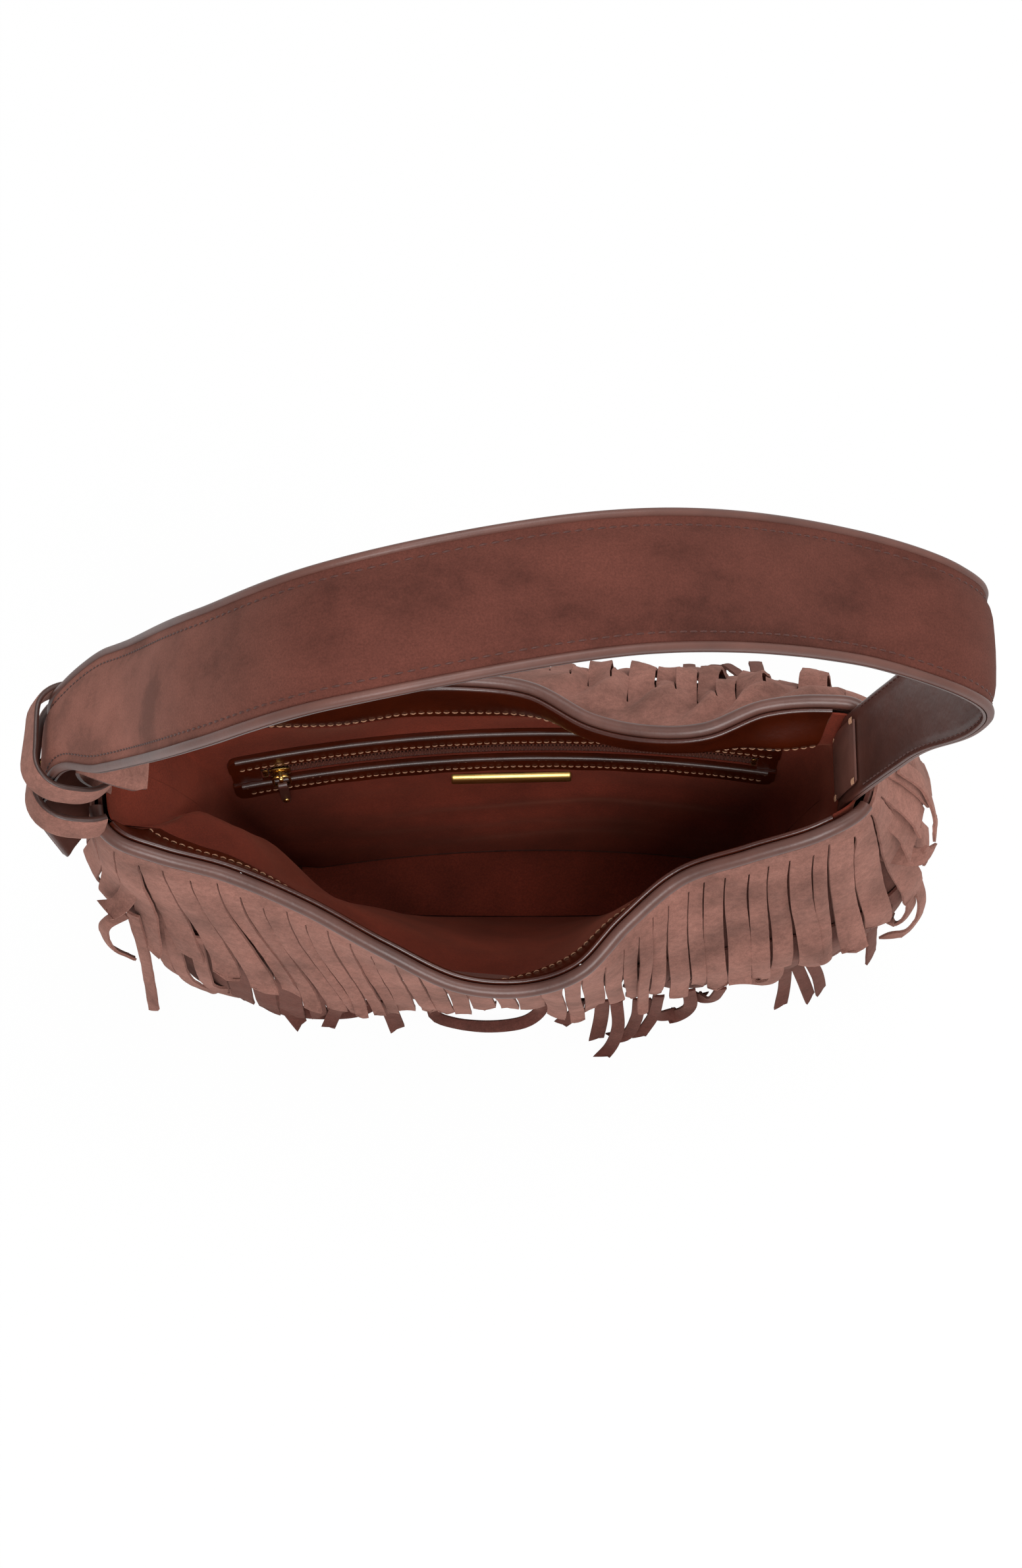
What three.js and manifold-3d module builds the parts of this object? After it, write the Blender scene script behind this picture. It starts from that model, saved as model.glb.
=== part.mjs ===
// Fringed suede hobo bag, standing open, with its padded strap up. Millimetres, +Z up.
// +X is the bag's right end, +Y its back. The origin is on the floor, under the middle of the base.

import * as THREE from "three";
import { mergeVertices } from "three/addons/utils/BufferGeometryUtils.js";
import Module from "manifold-3d";

const wasm = await Module();
wasm.setup();

// Base
const BASE_LENGTH = 250;
const BASE_FRONT = 50;
const BASE_BACK = 38;
const BASE_THICKNESS = 3;
const BASE_SQUARENESS = 3.4;
const FLARE_HEIGHT = 9;
const FLARE_SHARE = 0.16;
const FRONT_SHOULDER = 0.6;
const BACK_SHOULDER = 0.8;

// Belly, the widest level of the body
const BELLY_LENGTH = 344;
const BELLY_FRONT = 65;
const BELLY_BACK = 58;
const BELLY_HEIGHT = 72;
const BELLY_SQUARENESS = 2.9;

// Mouth
const MOUTH_LENGTH = 302;
const MOUTH_SHIFT = -10;
const MOUTH_END_WIDTH = 44;
const FRONT_BOW = 62;
const BACK_BOW = 15;
const MOUTH_HEIGHT = 178;
const FRONT_DIP = 46;
const BACK_DIP = 22;
const PANEL_THICKNESS = 1.6;

// Gap between pieces that are sewn or pressed together
const SEAM = 0.3;

// Edge binding and the facing inside the mouth
const BINDING_RADIUS = 3;
const BINDING_START = 0.05;
const FACING_DEPTH = 22;
const FACING_THICKNESS = 1.2;
const FACING_LOWER = 2.2;

// Lining
const LINING_THICKNESS = 0.8;
const LINING_LENGTH = 205;
const LINING_FRONT_DEPTH = 17;
const LINING_MIDDLE = -10;

// Zip pocket in the back lining: the zip runs on an arc about an upright axis in front of the bag
const WALL_RADIUS = 650;
const WALL_SLOPE = 0.2086;
const ZIP_CENTRE = 15;
const ZIP_DEPTH = 25.1;
const ZIP_HEIGHT = 103.6;
const ZIP_LEFT = -104;
const ZIP_RIGHT = 103;
const ZIP_WINDOW = 10;
const WELT_LEFT_MARGIN = 13;
const WELT_RIGHT_MARGIN = 9;
const UPPER_WELT_HEIGHT = 11.5;
const LOWER_WELT_HEIGHT = 13;
const WELT_THICKNESS = 1.2;
const TAPE_THICKNESS = 0.7;
const TAPE_HEIGHT = 12;
const TAPE_MARGIN = 5;
const COIL_HEIGHT = 2.3;
const COIL_THICKNESS = 1.5;
const COIL_SPLIT = 1.3;
const POUCH_DEPTH = 70;
const POUCH_THICKNESS = 2;

// Slider, end stops and pull
const STOP_LENGTH = 2.4;
const STOP_THICKNESS = 0.7;
const SLIDER_LENGTH = 9;
const SLIDER_HEIGHT = 7.2;
const SLIDER_PLATE = 1;
const SLIDER_POST = 0.8;
const BRIDGE_HEIGHT = 4.6;
const BRIDGE_SPAN = 4.6;
const BRIDGE_WALL = 0.9;
const PULL_WIRE = 1.1;
const PULL_RING_WIDTH = 8;
const PULL_RING_HEIGHT = 8.5;
const PULL_TAB_WIDTH = 4;
const PULL_RING_CORNER = 0.9;
const EYE_CLEARANCE = 0.35;
const PULL_TAB_LENGTH = 15;
const PULL_TAB_THICKNESS = 2;
const RIVET_RADIUS = 1.5;
const RIVET_HEIGHT = 0.8;

// Bare metal bar under the zip
const BAR_LENGTH = 48.5;
const BAR_HEIGHT = 8.2;
const BAR_THICKNESS = 1.8;
const BAR_BELOW_ZIP = 29.3;

// Strap
const STRAP_WIDTH = 45;
const STRAP_END_WIDTH = 34;
const STRAP_TAPER_FROM = 78;
const STRAP_TAPER_TO = 135;
const STRAP_RISE = 237;
const STRAP_SKIN = 1.4;
const STRAP_CROWN = 2.4;
const STRAP_LINING = 1.2;
const STRAP_EDGE = 4;
const STRAP_STANDOFF = 10.5;
const CORE_END = 6;
const STRAP_TAIL_DROP = 50;
const STRAP_ANCHOR_DEPTH = 21;

// Knot at the left end
const TAB_WIDTH = 29;
const TAB_Y = 0.5;
const TAB_THICKNESS = 1.4;
const TAB_REACH = 24;
const TAB_INSET = 3.6;
const KEEPER_HEIGHT = 10.5;
const KEEPER_THICKNESS = 2;
const KEEPER_CLEARANCE = 2.6;
const KEEPER_REACH = 4;
const KEEPER_SEAT = 0.9;
const UPPER_KEEPER_RISE = 20.5;
const LOWER_KEEPER_DROP = 1.6;
const STUD_RADIUS = 4;
const STUD_POST = 1.3;
const STUD_RISE = 8;
const STUD_CLEARANCE = 0.3;

// Patch over the strap's end inside the mouth
const PATCH_HEIGHT = 30;
const PATCH_THICKNESS = 1.3;
const PATCH_WIDTH = 26;

// Fringe
const FRINGE_THICKNESS = 1.2;
const FRINGE_HEADER = 11;
const STRIP_WIDTH = 7.4;
const STRIP_SLIT = 0.7;
const UPPER_STRIP_LENGTH = 96;
const LOWER_STRIP_LENGTH = 104;
const LOWER_FRINGE_TOP = 94;
const LOWER_FRINGE_LIFT = 1.6;
const UPPER_FRINGE_LIFT = 4.6;
const UPPER_HEADER_LIFT = 1;
const LOWER_HEADER_LIFT_FRONT = 0.1;
const LOWER_HEADER_LIFT_BACK = -0.4;
const LIFT_DROP = 20;
const STRIP_WAVE = 1.3;
const STRIP_CURL = 5;
const STRIP_FALL_IN = 0.32;
const FLOOR_CLEARANCE = 0.5;
const STRIP_ROWS = 4;
const FRINGE_INSET = 0.012;

const FRONT = -1;
const BACK = 1;

// Mouth edge of each side, from left to right: [along the mouth, bow outwards, dip], each a share of its size.
const FRONT_EDGE = [
  [-0.83, 0.23, 0.07],
  [-0.67, 0.32, 0.25],
  [-0.47, 0.45, 0.54],
  [-0.27, 0.66, 0.84],
  [-0.07, 0.91, 0.99],
  [0.11, 1, 1],
  [0.25, 0.93, 0.87],
  [0.37, 0.65, 0.7],
  [0.51, 0.34, 0.48],
  [0.68, 0.17, 0.24],
  [0.86, 0.06, 0.04],
];
const BACK_EDGE = [
  [-0.8, 0.25, 0.12],
  [-0.42, 0.45, 0.62],
  [-0.22, 1, 0.88],
  [-0.05, 0.97, 1],
  [0.12, 0.5, 0.97],
  [0.28, -0.2, 0.82],
  [0.43, -0.58, 0.6],
  [0.57, -0.6, 0.4],
  [0.72, -0.2, 0.19],
  [0.87, 0, 0.04],
];

// Strap's centre line over the mouth: [along the mouth, lean to the back in mm, share of its rise].
const STRAP_ARCH = [
  [-0.99, 1.5, 0.18],
  [-0.8, -10, 0.439],
  [-0.58, -27, 0.789],
  [-0.28, -28, 0.985],
  [0.32, -7, 0.93],
  [0.8, 5, 0.726],
  [1.05, 1, 0.63],
  [1.13, 0, 0.535],
  [1.055, 0, 0.304],
];

const bag = new THREE.Group();

function finish(colour, roughness, metalness) {
  return new THREE.MeshStandardMaterial({ color: colour, roughness, metalness });
}

const SUEDE = finish(0x5a3029, 0.95, 0);
const SUEDE_DARK = finish(0x472420, 0.95, 0);
const EDGE_LEATHER = finish(0x6b5350, 0.45, 0);
const FACING_LEATHER = finish(0x4a2412, 0.4, 0);
const LINING_CLOTH = finish(0x552822, 0.9, 0);
const ZIP_TAPE = finish(0x2a1712, 0.8, 0);
const GOLD = finish(0xc9a24a, 0.25, 1);

function add(name, geometry, material, parent = bag) {
  const mesh = new THREE.Mesh(geometry, material);
  mesh.name = name;
  parent.add(mesh);
  return mesh;
}

// Turns a list of triangles so that their faces point out.
function facingOut(points, triangles) {
  let volume = 0;
  for (const [a, b, c] of triangles) {
    volume += points[a].dot(new THREE.Vector3().crossVectors(points[b], points[c]));
  }
  const index = [];
  for (const [a, b, c] of triangles) {
    index.push(a);
    index.push(volume > 0 ? b : c);
    index.push(volume > 0 ? c : b);
  }
  const geometry = new THREE.BufferGeometry();
  geometry.setFromPoints(points);
  geometry.setIndex(index);
  return geometry;
}

// A sheet of cloth or leather: a grid with two faces, walled round its edge and its cut-outs.
function sheet(columns, rows, outer, inner, kept = () => true) {
  const points = [];
  const triangles = [];
  const numbers = new Map();
  const corner = (i, j, face) => {
    const key = `${i} ${j} ${face}`;
    if (!numbers.has(key)) {
      numbers.set(key, points.length);
      points.push(face === 0 ? outer(i, j) : inner(i, j));
    }
    return numbers.get(key);
  };
  const quad = (a, b, c, d) => {
    triangles.push([a, b, c]);
    triangles.push([a, c, d]);
  };
  const holds = (i, j) => i >= 0 && j >= 0 && i < columns && j < rows && kept(i, j);
  const wall = (i0, j0, i1, j1) => {
    quad(corner(i1, j1, 0), corner(i0, j0, 0), corner(i0, j0, 1), corner(i1, j1, 1));
  };
  for (let i = 0; i < columns; i += 1) {
    for (let j = 0; j < rows; j += 1) {
      if (!holds(i, j)) continue;
      quad(corner(i, j, 0), corner(i + 1, j, 0), corner(i + 1, j + 1, 0), corner(i, j + 1, 0));
      quad(corner(i, j + 1, 1), corner(i + 1, j + 1, 1), corner(i + 1, j, 1), corner(i, j, 1));
      if (!holds(i, j - 1)) wall(i, j, i + 1, j);
      if (!holds(i + 1, j)) wall(i + 1, j, i + 1, j + 1);
      if (!holds(i, j + 1)) wall(i + 1, j + 1, i, j + 1);
      if (!holds(i - 1, j)) wall(i, j + 1, i, j);
    }
  }
  return facingOut(points, triangles);
}

// A body of like sections, each a closed list of points: capped at both ends, or joined into a ring.
function loft(sections, ring = false) {
  const points = sections.flat();
  const count = sections[0].length;
  const triangles = [];
  const links = ring ? sections.length : sections.length - 1;
  for (let k = 0; k < links; k += 1) {
    const here = k * count;
    const next = ((k + 1) % sections.length) * count;
    for (let m = 0; m < count; m += 1) {
      const n = (m + 1) % count;
      triangles.push([here + m, here + n, next + n]);
      triangles.push([here + m, next + n, next + m]);
    }
  }
  if (!ring) {
    for (const [start, turned] of [[0, true], [(sections.length - 1) * count, false]]) {
      const cap = capTriangles(points.slice(start, start + count));
      for (const [a, b, c] of cap) {
        triangles.push(turned ? [start + c, start + b, start + a] : [start + a, start + b, start + c]);
      }
    }
  }
  return facingOut(points, triangles);
}

// Triangles of a flat closed outline in space, wound as the outline is.
function capTriangles(outline) {
  const middle = new THREE.Vector3();
  const normal = new THREE.Vector3();
  for (const point of outline) {
    middle.add(point);
  }
  middle.divideScalar(outline.length);
  for (let k = 0; k < outline.length; k += 1) {
    const a = outline[k].clone().sub(middle);
    const b = outline[(k + 1) % outline.length].clone().sub(middle);
    normal.add(a.cross(b));
  }
  normal.normalize();
  const right = outline[0].clone().sub(middle);
  right.addScaledVector(normal, -right.dot(normal));
  right.normalize();
  const up = new THREE.Vector3().crossVectors(normal, right);
  const flat = outline.map((point) => {
    const offset = point.clone().sub(middle);
    return new THREE.Vector2(offset.dot(right), offset.dot(up));
  });
  return THREE.ShapeUtils.triangulateShape(flat, []);
}

function toManifold(geometry) {
  const bare = geometry.clone();
  bare.deleteAttribute("normal");
  bare.deleteAttribute("uv");
  const merged = mergeVertices(bare, 1e-5);
  const vertProperties = new Float32Array(merged.attributes.position.array);
  const triVerts = new Uint32Array(merged.index.array);
  return new wasm.Manifold(new wasm.Mesh({ numProp: 3, vertProperties, triVerts }));
}

function fromManifold(solid) {
  const { vertProperties, triVerts } = solid.getMesh();
  const geometry = new THREE.BufferGeometry();
  geometry.setAttribute("position", new THREE.BufferAttribute(new Float32Array(vertProperties), 3));
  geometry.setIndex(new THREE.BufferAttribute(new Uint32Array(triVerts), 1));
  return geometry;
}

function mix(a, b, share) {
  return a + (b - a) * share;
}

function smooth(from, to, value) {
  return THREE.MathUtils.smoothstep(value, from, to);
}

// Body rings

// Half of a rounded ring, from its left end to its right end.
function halfRing(side, length, depth, squareness, height, middle = 0) {
  const steps = 20;
  const points = [];
  for (let k = 0; k <= steps; k += 1) {
    const angle = Math.PI * (1 - k / steps);
    const across = Math.cos(angle);
    const out = Math.abs(Math.sin(angle));
    const x = Math.sign(across) * (length / 2) * Math.abs(across) ** (2 / squareness);
    const y = middle + side * depth * out ** (2 / squareness);
    points.push(new THREE.Vector3(x, y, height));
  }
  return new THREE.CatmullRomCurve3(points);
}

// The mouth's edge on one side: round the left end, along the side and round the right end.
function mouthEdge(side, edge, bow, dip) {
  const half = MOUTH_LENGTH / 2;
  const end = MOUTH_END_WIDTH / 2;
  const place = (along, out, height) => new THREE.Vector3(MOUTH_SHIFT + along * half, side * out, height);
  const points = [
    place(-1, 0, MOUTH_HEIGHT),
    place(-0.995, 0.5 * end, MOUTH_HEIGHT),
    place(-0.965, 0.94 * end, MOUTH_HEIGHT),
  ];
  for (const [along, out, lower] of edge) {
    points.push(place(along, end + out * bow, MOUTH_HEIGHT - lower * dip));
  }
  points.push(place(0.965, 0.94 * end, MOUTH_HEIGHT));
  points.push(place(0.995, 0.5 * end, MOUTH_HEIGHT));
  points.push(place(1, 0, MOUTH_HEIGHT));
  return new THREE.CatmullRomCurve3(points);
}

const RINGS = {
  [FRONT]: {
    base: halfRing(FRONT, BASE_LENGTH, BASE_FRONT, BASE_SQUARENESS, SEAM),
    belly: halfRing(FRONT, BELLY_LENGTH, BELLY_FRONT, BELLY_SQUARENESS, BELLY_HEIGHT),
    mouth: mouthEdge(FRONT, FRONT_EDGE, FRONT_BOW, FRONT_DIP),
  },
  [BACK]: {
    base: halfRing(BACK, BASE_LENGTH, BASE_BACK, BASE_SQUARENESS, SEAM),
    belly: halfRing(BACK, BELLY_LENGTH, BELLY_BACK, BELLY_SQUARENESS, BELLY_HEIGHT),
    mouth: mouthEdge(BACK, BACK_EDGE, BACK_BOW, BACK_DIP),
  },
};
const PANEL_TOP_DROP = 2 * BINDING_RADIUS + 2 * SEAM;

// Outer face of the body: share runs from the left seam to the right one, rise from the base to the mouth.
function bodyColumn(side, share) {
  const rings = RINGS[side];
  const base = rings.base.getPointAt(share);
  const belly = rings.belly.getPointAt(share);
  const mouth = rings.mouth.getPointAt(share);
  mouth.z -= PANEL_TOP_DROP;
  const flare = base.clone().lerp(belly, FLARE_SHARE);
  flare.z = FLARE_HEIGHT;
  const shoulder = mouth.clone().lerp(belly, side === FRONT ? FRONT_SHOULDER : BACK_SHOULDER);
  shoulder.z = mix(mouth.z, belly.z, 0.5);
  return new THREE.CatmullRomCurve3([base, flare, belly, shoulder, mouth]);
}

function bodyPoint(side, share, rise, lift = 0) {
  const step = 1e-3;
  const column = bodyColumn(side, share);
  const point = column.getPoint(rise);
  if (lift === 0) return point;
  const left = Math.max(share - step, 0);
  const right = Math.min(share + step, 1);
  const along = bodyColumn(side, right).getPoint(rise).sub(bodyColumn(side, left).getPoint(rise));
  const up = column.getPoint(Math.min(rise + step, 1)).sub(column.getPoint(Math.max(rise - step, 0)));
  const out = along.cross(up).normalize().multiplyScalar(-side);
  return point.addScaledVector(out, lift);
}

// Level direction out of a ring at a share of its length.
function ringOutward(side, ring, share) {
  const along = ring.getTangentAt(THREE.MathUtils.clamp(share, 0.002, 0.998));
  return new THREE.Vector3(-along.y, along.x, 0).normalize().multiplyScalar(side);
}

// Share of a ring's length at which it passes a place along X.
function shareAt(ring, x) {
  let low = 0.03;
  let high = 0.97;
  for (let k = 0; k < 40; k += 1) {
    const middle = (low + high) / 2;
    if (ring.getPointAt(middle).x < x) low = middle;
    else high = middle;
  }
  return (low + high) / 2;
}

// Body panels and base

const BODY_COLUMNS = 24;
const BODY_RISES = [0, 0.12, 0.25, 0.5, 0.7, 0.85, 1];
const SEAM_SHARE = 0.0008;

function bodyPanel(side) {
  const share = (i) => mix(SEAM_SHARE, 1 - SEAM_SHARE, i / BODY_COLUMNS);
  const outer = (i, j) => bodyPoint(side, share(i), BODY_RISES[j]);
  const inner = (i, j) => bodyPoint(side, share(i), BODY_RISES[j], -PANEL_THICKNESS);
  return sheet(BODY_COLUMNS, BODY_RISES.length - 1, outer, inner);
}

function basePanel() {
  const steps = 22;
  const inset = PANEL_THICKNESS + SEAM;
  const outline = [];
  for (const side of [FRONT, BACK]) {
    const ring = RINGS[side].base;
    for (let k = 1; k < steps; k += 1) {
      const share = side === FRONT ? k / steps : 1 - k / steps;
      const point = ring.getPointAt(share).addScaledVector(ringOutward(side, ring, share), -inset);
      outline.push(new THREE.Vector2(point.x, point.y));
    }
  }
  return new THREE.ExtrudeGeometry(new THREE.Shape(outline), { depth: BASE_THICKNESS, bevelEnabled: false });
}

add("base_panel", basePanel(), SUEDE_DARK);
add("front_panel", bodyPanel(FRONT), SUEDE_DARK);
add("back_panel", bodyPanel(BACK), SUEDE_DARK);

// Binding rolled over the mouth's edge

function binding(side) {
  const ring = RINGS[side].mouth;
  const steps = 34;
  const sides = 8;
  const sections = [];
  for (let k = 0; k <= steps; k += 1) {
    const share = mix(BINDING_START, 1 - BINDING_START, k / steps);
    const middle = ring.getPointAt(share);
    middle.z -= BINDING_RADIUS;
    const tangent = ring.getTangentAt(share);
    const out = ringOutward(side, ring, share);
    const up = new THREE.Vector3().crossVectors(tangent, out).normalize();
    const section = [];
    for (let m = 0; m < sides; m += 1) {
      const angle = (2 * Math.PI * m) / sides;
      const point = middle.clone().addScaledVector(out, BINDING_RADIUS * Math.cos(angle));
      section.push(point.addScaledVector(up, BINDING_RADIUS * Math.sin(angle)));
    }
    sections.push(section);
  }
  return loft(sections);
}

add("front_binding", binding(FRONT), EDGE_LEATHER);
add("back_binding", binding(BACK), EDGE_LEATHER);

// Lining and facing

const FLOOR_TOP = BASE_THICKNESS + 2 * SEAM + LINING_THICKNESS;
const FLOOR_RINGS = {
  [FRONT]: halfRing(FRONT, LINING_LENGTH, LINING_FRONT_DEPTH, BELLY_SQUARENESS, FLOOR_TOP, LINING_MIDDLE),
  [BACK]: halfRing(BACK, LINING_LENGTH, LINING_FRONT_DEPTH, BELLY_SQUARENESS, FLOOR_TOP, LINING_MIDDLE),
};
const MOUTH_INSET = BINDING_RADIUS + 3 * SEAM + FACING_THICKNESS;
const WALL_TOP = ZIP_HEIGHT + ZIP_WINDOW / 2 + UPPER_WELT_HEIGHT + 3;
const WALL_ENDS = [0.11, 0.93];
const WALL_EASE = 0.75;

function wallRadius(z) {
  return WALL_RADIUS + WALL_SLOPE * (z - ZIP_HEIGHT);
}

function wallY(x, z) {
  const reach = wallRadius(z) ** 2 - (x - ZIP_CENTRE) ** 2;
  return ZIP_DEPTH - WALL_RADIUS + Math.sqrt(reach);
}

// Top of the inner face, just inside the binding.
function innerTop(side, share) {
  const ring = RINGS[side].mouth;
  const top = ring.getPointAt(share).addScaledVector(ringOutward(side, ring, share), -MOUTH_INSET);
  top.z -= FACING_LOWER;
  return top;
}

// Inner face of the bag. Drop is 0 at the mouth and 1 on the floor.
function innerPoint(side, share, drop) {
  const point = innerTop(side, share).lerp(FLOOR_RINGS[side].getPointAt(share), drop);
  if (side === FRONT) return point;
  const end = Math.max(1 - smooth(0, WALL_ENDS[0], share), smooth(WALL_ENDS[1], 1, share));
  const top = innerTop(side, share).z;
  const upper = smooth(WALL_TOP, mix(WALL_TOP, top, WALL_EASE), point.z);
  point.y = mix(wallY(point.x, point.z), point.y, Math.max(end, upper));
  return point;
}

function innerDirection(side, share, drop) {
  const step = 2e-3;
  const left = innerPoint(side, Math.max(share - step, 0), drop);
  const right = innerPoint(side, Math.min(share + step, 1), drop);
  const above = innerPoint(side, share, Math.max(drop - step, 0));
  const below = innerPoint(side, share, Math.min(drop + step, 1));
  return right.sub(left).cross(below.sub(above)).normalize().multiplyScalar(side);
}

function dropAt(side, share, z) {
  const top = innerTop(side, share).z;
  return (top - z) / (top - FLOOR_TOP);
}

// A layer on the inner face, between two faces at the given depths behind it.
function innerLayer(side, shares, drops, front, behind, kept) {
  const face = (depth) => (i, j) => {
    const drop = drops(shares[i], j);
    const point = innerPoint(side, shares[i], drop);
    return point.addScaledVector(innerDirection(side, shares[i], drop), depth);
  };
  return sheet(shares.length - 1, drops.rows, face(front), face(behind), kept);
}

function evenShares(from, to, count) {
  return Array.from({ length: count + 1 }, (unused, k) => mix(from, to, k / count));
}

const FACING_RIGHT = MOUTH_SHIFT + MOUTH_LENGTH / 2 - 16.5;
const FACING_LEFT = MOUTH_SHIFT - MOUTH_LENGTH / 2 + 9;

function facing(side) {
  const ring = RINGS[side].mouth;
  const shares = evenShares(shareAt(ring, FACING_LEFT), shareAt(ring, FACING_RIGHT), 26);
  const drops = (share, j) => dropAt(side, share, innerTop(side, share).z - (j * FACING_DEPTH) / 2);
  drops.rows = 2;
  return innerLayer(side, shares, drops, 0, FACING_THICKNESS);
}

add("front_facing", facing(FRONT), FACING_LEATHER);
add("back_facing", facing(BACK), FACING_LEATHER);

function liningFront() {
  const rows = 4;
  const drops = (share, j) => {
    const first = dropAt(FRONT, share, innerTop(FRONT, share).z - FACING_DEPTH - SEAM);
    return mix(first, 1, j / rows);
  };
  drops.rows = rows;
  return innerLayer(FRONT, evenShares(0.004, 0.996, 24), drops, 0, LINING_THICKNESS);
}

// The back lining has a slot for the zip.
function liningBack() {
  const slotLow = ZIP_HEIGHT - ZIP_WINDOW / 2;
  const slotHigh = ZIP_HEIGHT + ZIP_WINDOW / 2;
  const slotFrom = shareAtZip(ZIP_LEFT - 2);
  const slotTo = shareAtZip(ZIP_RIGHT + 2);
  const shares = [
    ...evenShares(0.004, slotFrom, 5),
    ...evenShares(slotFrom, slotTo, 18).slice(1),
    ...evenShares(slotTo, 0.996, 5).slice(1),
  ];
  const levels = [WALL_TOP, slotHigh, slotLow, mix(slotLow, FLOOR_TOP, 0.33), mix(slotLow, FLOOR_TOP, 0.66)];
  const drops = (share, j) => {
    if (j === 0) return dropAt(BACK, share, innerTop(BACK, share).z - FACING_DEPTH - SEAM);
    if (j > levels.length) return 1;
    return dropAt(BACK, share, levels[j - 1]);
  };
  drops.rows = levels.length + 1;
  const kept = (i, j) => j !== 2 || i < 5 || i >= 23;
  return innerLayer(BACK, shares, drops, 0, LINING_THICKNESS, kept);
}

// Share at which the back inner face passes a place along X at the zip's height.
function shareAtZip(x) {
  let low = 0.03;
  let high = 0.97;
  for (let k = 0; k < 40; k += 1) {
    const middle = (low + high) / 2;
    if (innerPoint(BACK, middle, dropAt(BACK, middle, ZIP_HEIGHT)).x < x) low = middle;
    else high = middle;
  }
  return (low + high) / 2;
}

function liningFloor() {
  const steps = 24;
  const outline = [];
  for (const side of [FRONT, BACK]) {
    for (let k = 1; k < steps; k += 1) {
      const share = side === FRONT ? k / steps : 1 - k / steps;
      const point = innerPoint(side, share, 1).addScaledVector(innerDirection(side, share, 1), -SEAM);
      outline.push(new THREE.Vector2(point.x, point.y));
    }
  }
  const shape = new THREE.Shape(outline);
  const floor = new THREE.ExtrudeGeometry(shape, { depth: LINING_THICKNESS, bevelEnabled: false });
  floor.translate(0, 0, BASE_THICKNESS + SEAM);
  return floor;
}

add("lining_front", liningFront(), LINING_CLOTH);
add("lining_back", liningBack(), LINING_CLOTH);
add("lining_floor", liningFloor(), LINING_CLOTH);

// Zip pocket

const WALL_TILT = Math.atan(WALL_SLOPE);

function wallAngle(x) {
  return Math.asin((x - ZIP_CENTRE) / WALL_RADIUS);
}

// A place on the pocket wall, lifted off it towards the inside of the bag.
function wallPoint(angle, z, lift) {
  const radius = wallRadius(z) - lift * Math.cos(WALL_TILT);
  const y = ZIP_DEPTH - WALL_RADIUS + radius * Math.cos(angle);
  return new THREE.Vector3(ZIP_CENTRE + radius * Math.sin(angle), y, z + lift * Math.sin(WALL_TILT));
}

// A band along the pocket wall with a rectangular section.
function wallBand(fromX, toX, low, high, near, far, steps) {
  const sections = [];
  for (let k = 0; k <= steps; k += 1) {
    const angle = mix(wallAngle(fromX), wallAngle(toX), k / steps);
    sections.push([
      wallPoint(angle, low, near),
      wallPoint(angle, high, near),
      wallPoint(angle, high, far),
      wallPoint(angle, low, far),
    ]);
  }
  return loft(sections);
}

const WELT_LEFT = ZIP_LEFT - WELT_LEFT_MARGIN;
const WELT_RIGHT = ZIP_RIGHT + WELT_RIGHT_MARGIN;
const WINDOW_TOP = ZIP_HEIGHT + ZIP_WINDOW / 2;
const WINDOW_BOTTOM = ZIP_HEIGHT - ZIP_WINDOW / 2;
const WELT_FAR = SEAM + WELT_THICKNESS;
const TAPE_NEAR = -LINING_THICKNESS - SEAM;
const TAPE_FAR = TAPE_NEAR - TAPE_THICKNESS;
const COIL_NEAR = TAPE_NEAR + SEAM;

add(
  "pocket_upper_welt",
  wallBand(WELT_LEFT, WELT_RIGHT, WINDOW_TOP, WINDOW_TOP + UPPER_WELT_HEIGHT, SEAM, WELT_FAR, 20),
  FACING_LEATHER,
);
add(
  "pocket_lower_welt",
  wallBand(WELT_LEFT, WELT_RIGHT, WINDOW_BOTTOM - LOWER_WELT_HEIGHT, WINDOW_BOTTOM, SEAM, WELT_FAR, 20),
  FACING_LEATHER,
);

const COIL_FAR = COIL_NEAR + COIL_THICKNESS;
for (const [name, turn] of [["upper", 1], ["lower", -1]]) {
  const edge = ZIP_HEIGHT + (turn * COIL_SPLIT) / 2;
  const left = ZIP_LEFT - TAPE_MARGIN;
  const right = ZIP_RIGHT + TAPE_MARGIN;
  const tape = wallBand(left, right, edge, edge + turn * TAPE_HEIGHT, TAPE_NEAR, TAPE_FAR, 20);
  add(`zip_tape_${name}`, tape, ZIP_TAPE);
  const coil = wallBand(ZIP_LEFT, ZIP_RIGHT, edge, edge + turn * COIL_HEIGHT, COIL_NEAR, COIL_FAR, 24);
  add(`zip_coil_${name}`, coil, ZIP_TAPE);
}

// Pouch behind the tapes, clear of the slider's back plate
const POUCH_NEAR = TAPE_FAR - SLIDER_PLATE - 3 * SEAM;
const POUCH_FAR = POUCH_NEAR - POUCH_THICKNESS;
const POUCH_TOP = ZIP_HEIGHT + TAPE_HEIGHT;
const POUCH_BOTTOM = POUCH_TOP - POUCH_DEPTH;
const pouch = wallBand(ZIP_LEFT, ZIP_RIGHT, POUCH_BOTTOM, POUCH_TOP, POUCH_NEAR, POUCH_FAR, 14);
add("pocket_pouch", pouch, LINING_CLOTH);

// Frame on the pocket wall: X along the zip, Y up the wall, Z off the wall.
function wallFrame(angle, z) {
  const along = new THREE.Vector3(Math.cos(angle), -Math.sin(angle), 0);
  const off = new THREE.Vector3(
    -Math.sin(angle) * Math.cos(WALL_TILT),
    -Math.cos(angle) * Math.cos(WALL_TILT),
    Math.sin(WALL_TILT),
  );
  const up = new THREE.Vector3().crossVectors(off, along);
  const frame = new THREE.Group();
  frame.quaternion.setFromRotationMatrix(new THREE.Matrix4().makeBasis(along, up, off));
  frame.position.copy(wallPoint(angle, z, 0));
  bag.add(frame);
  return frame;
}

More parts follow.
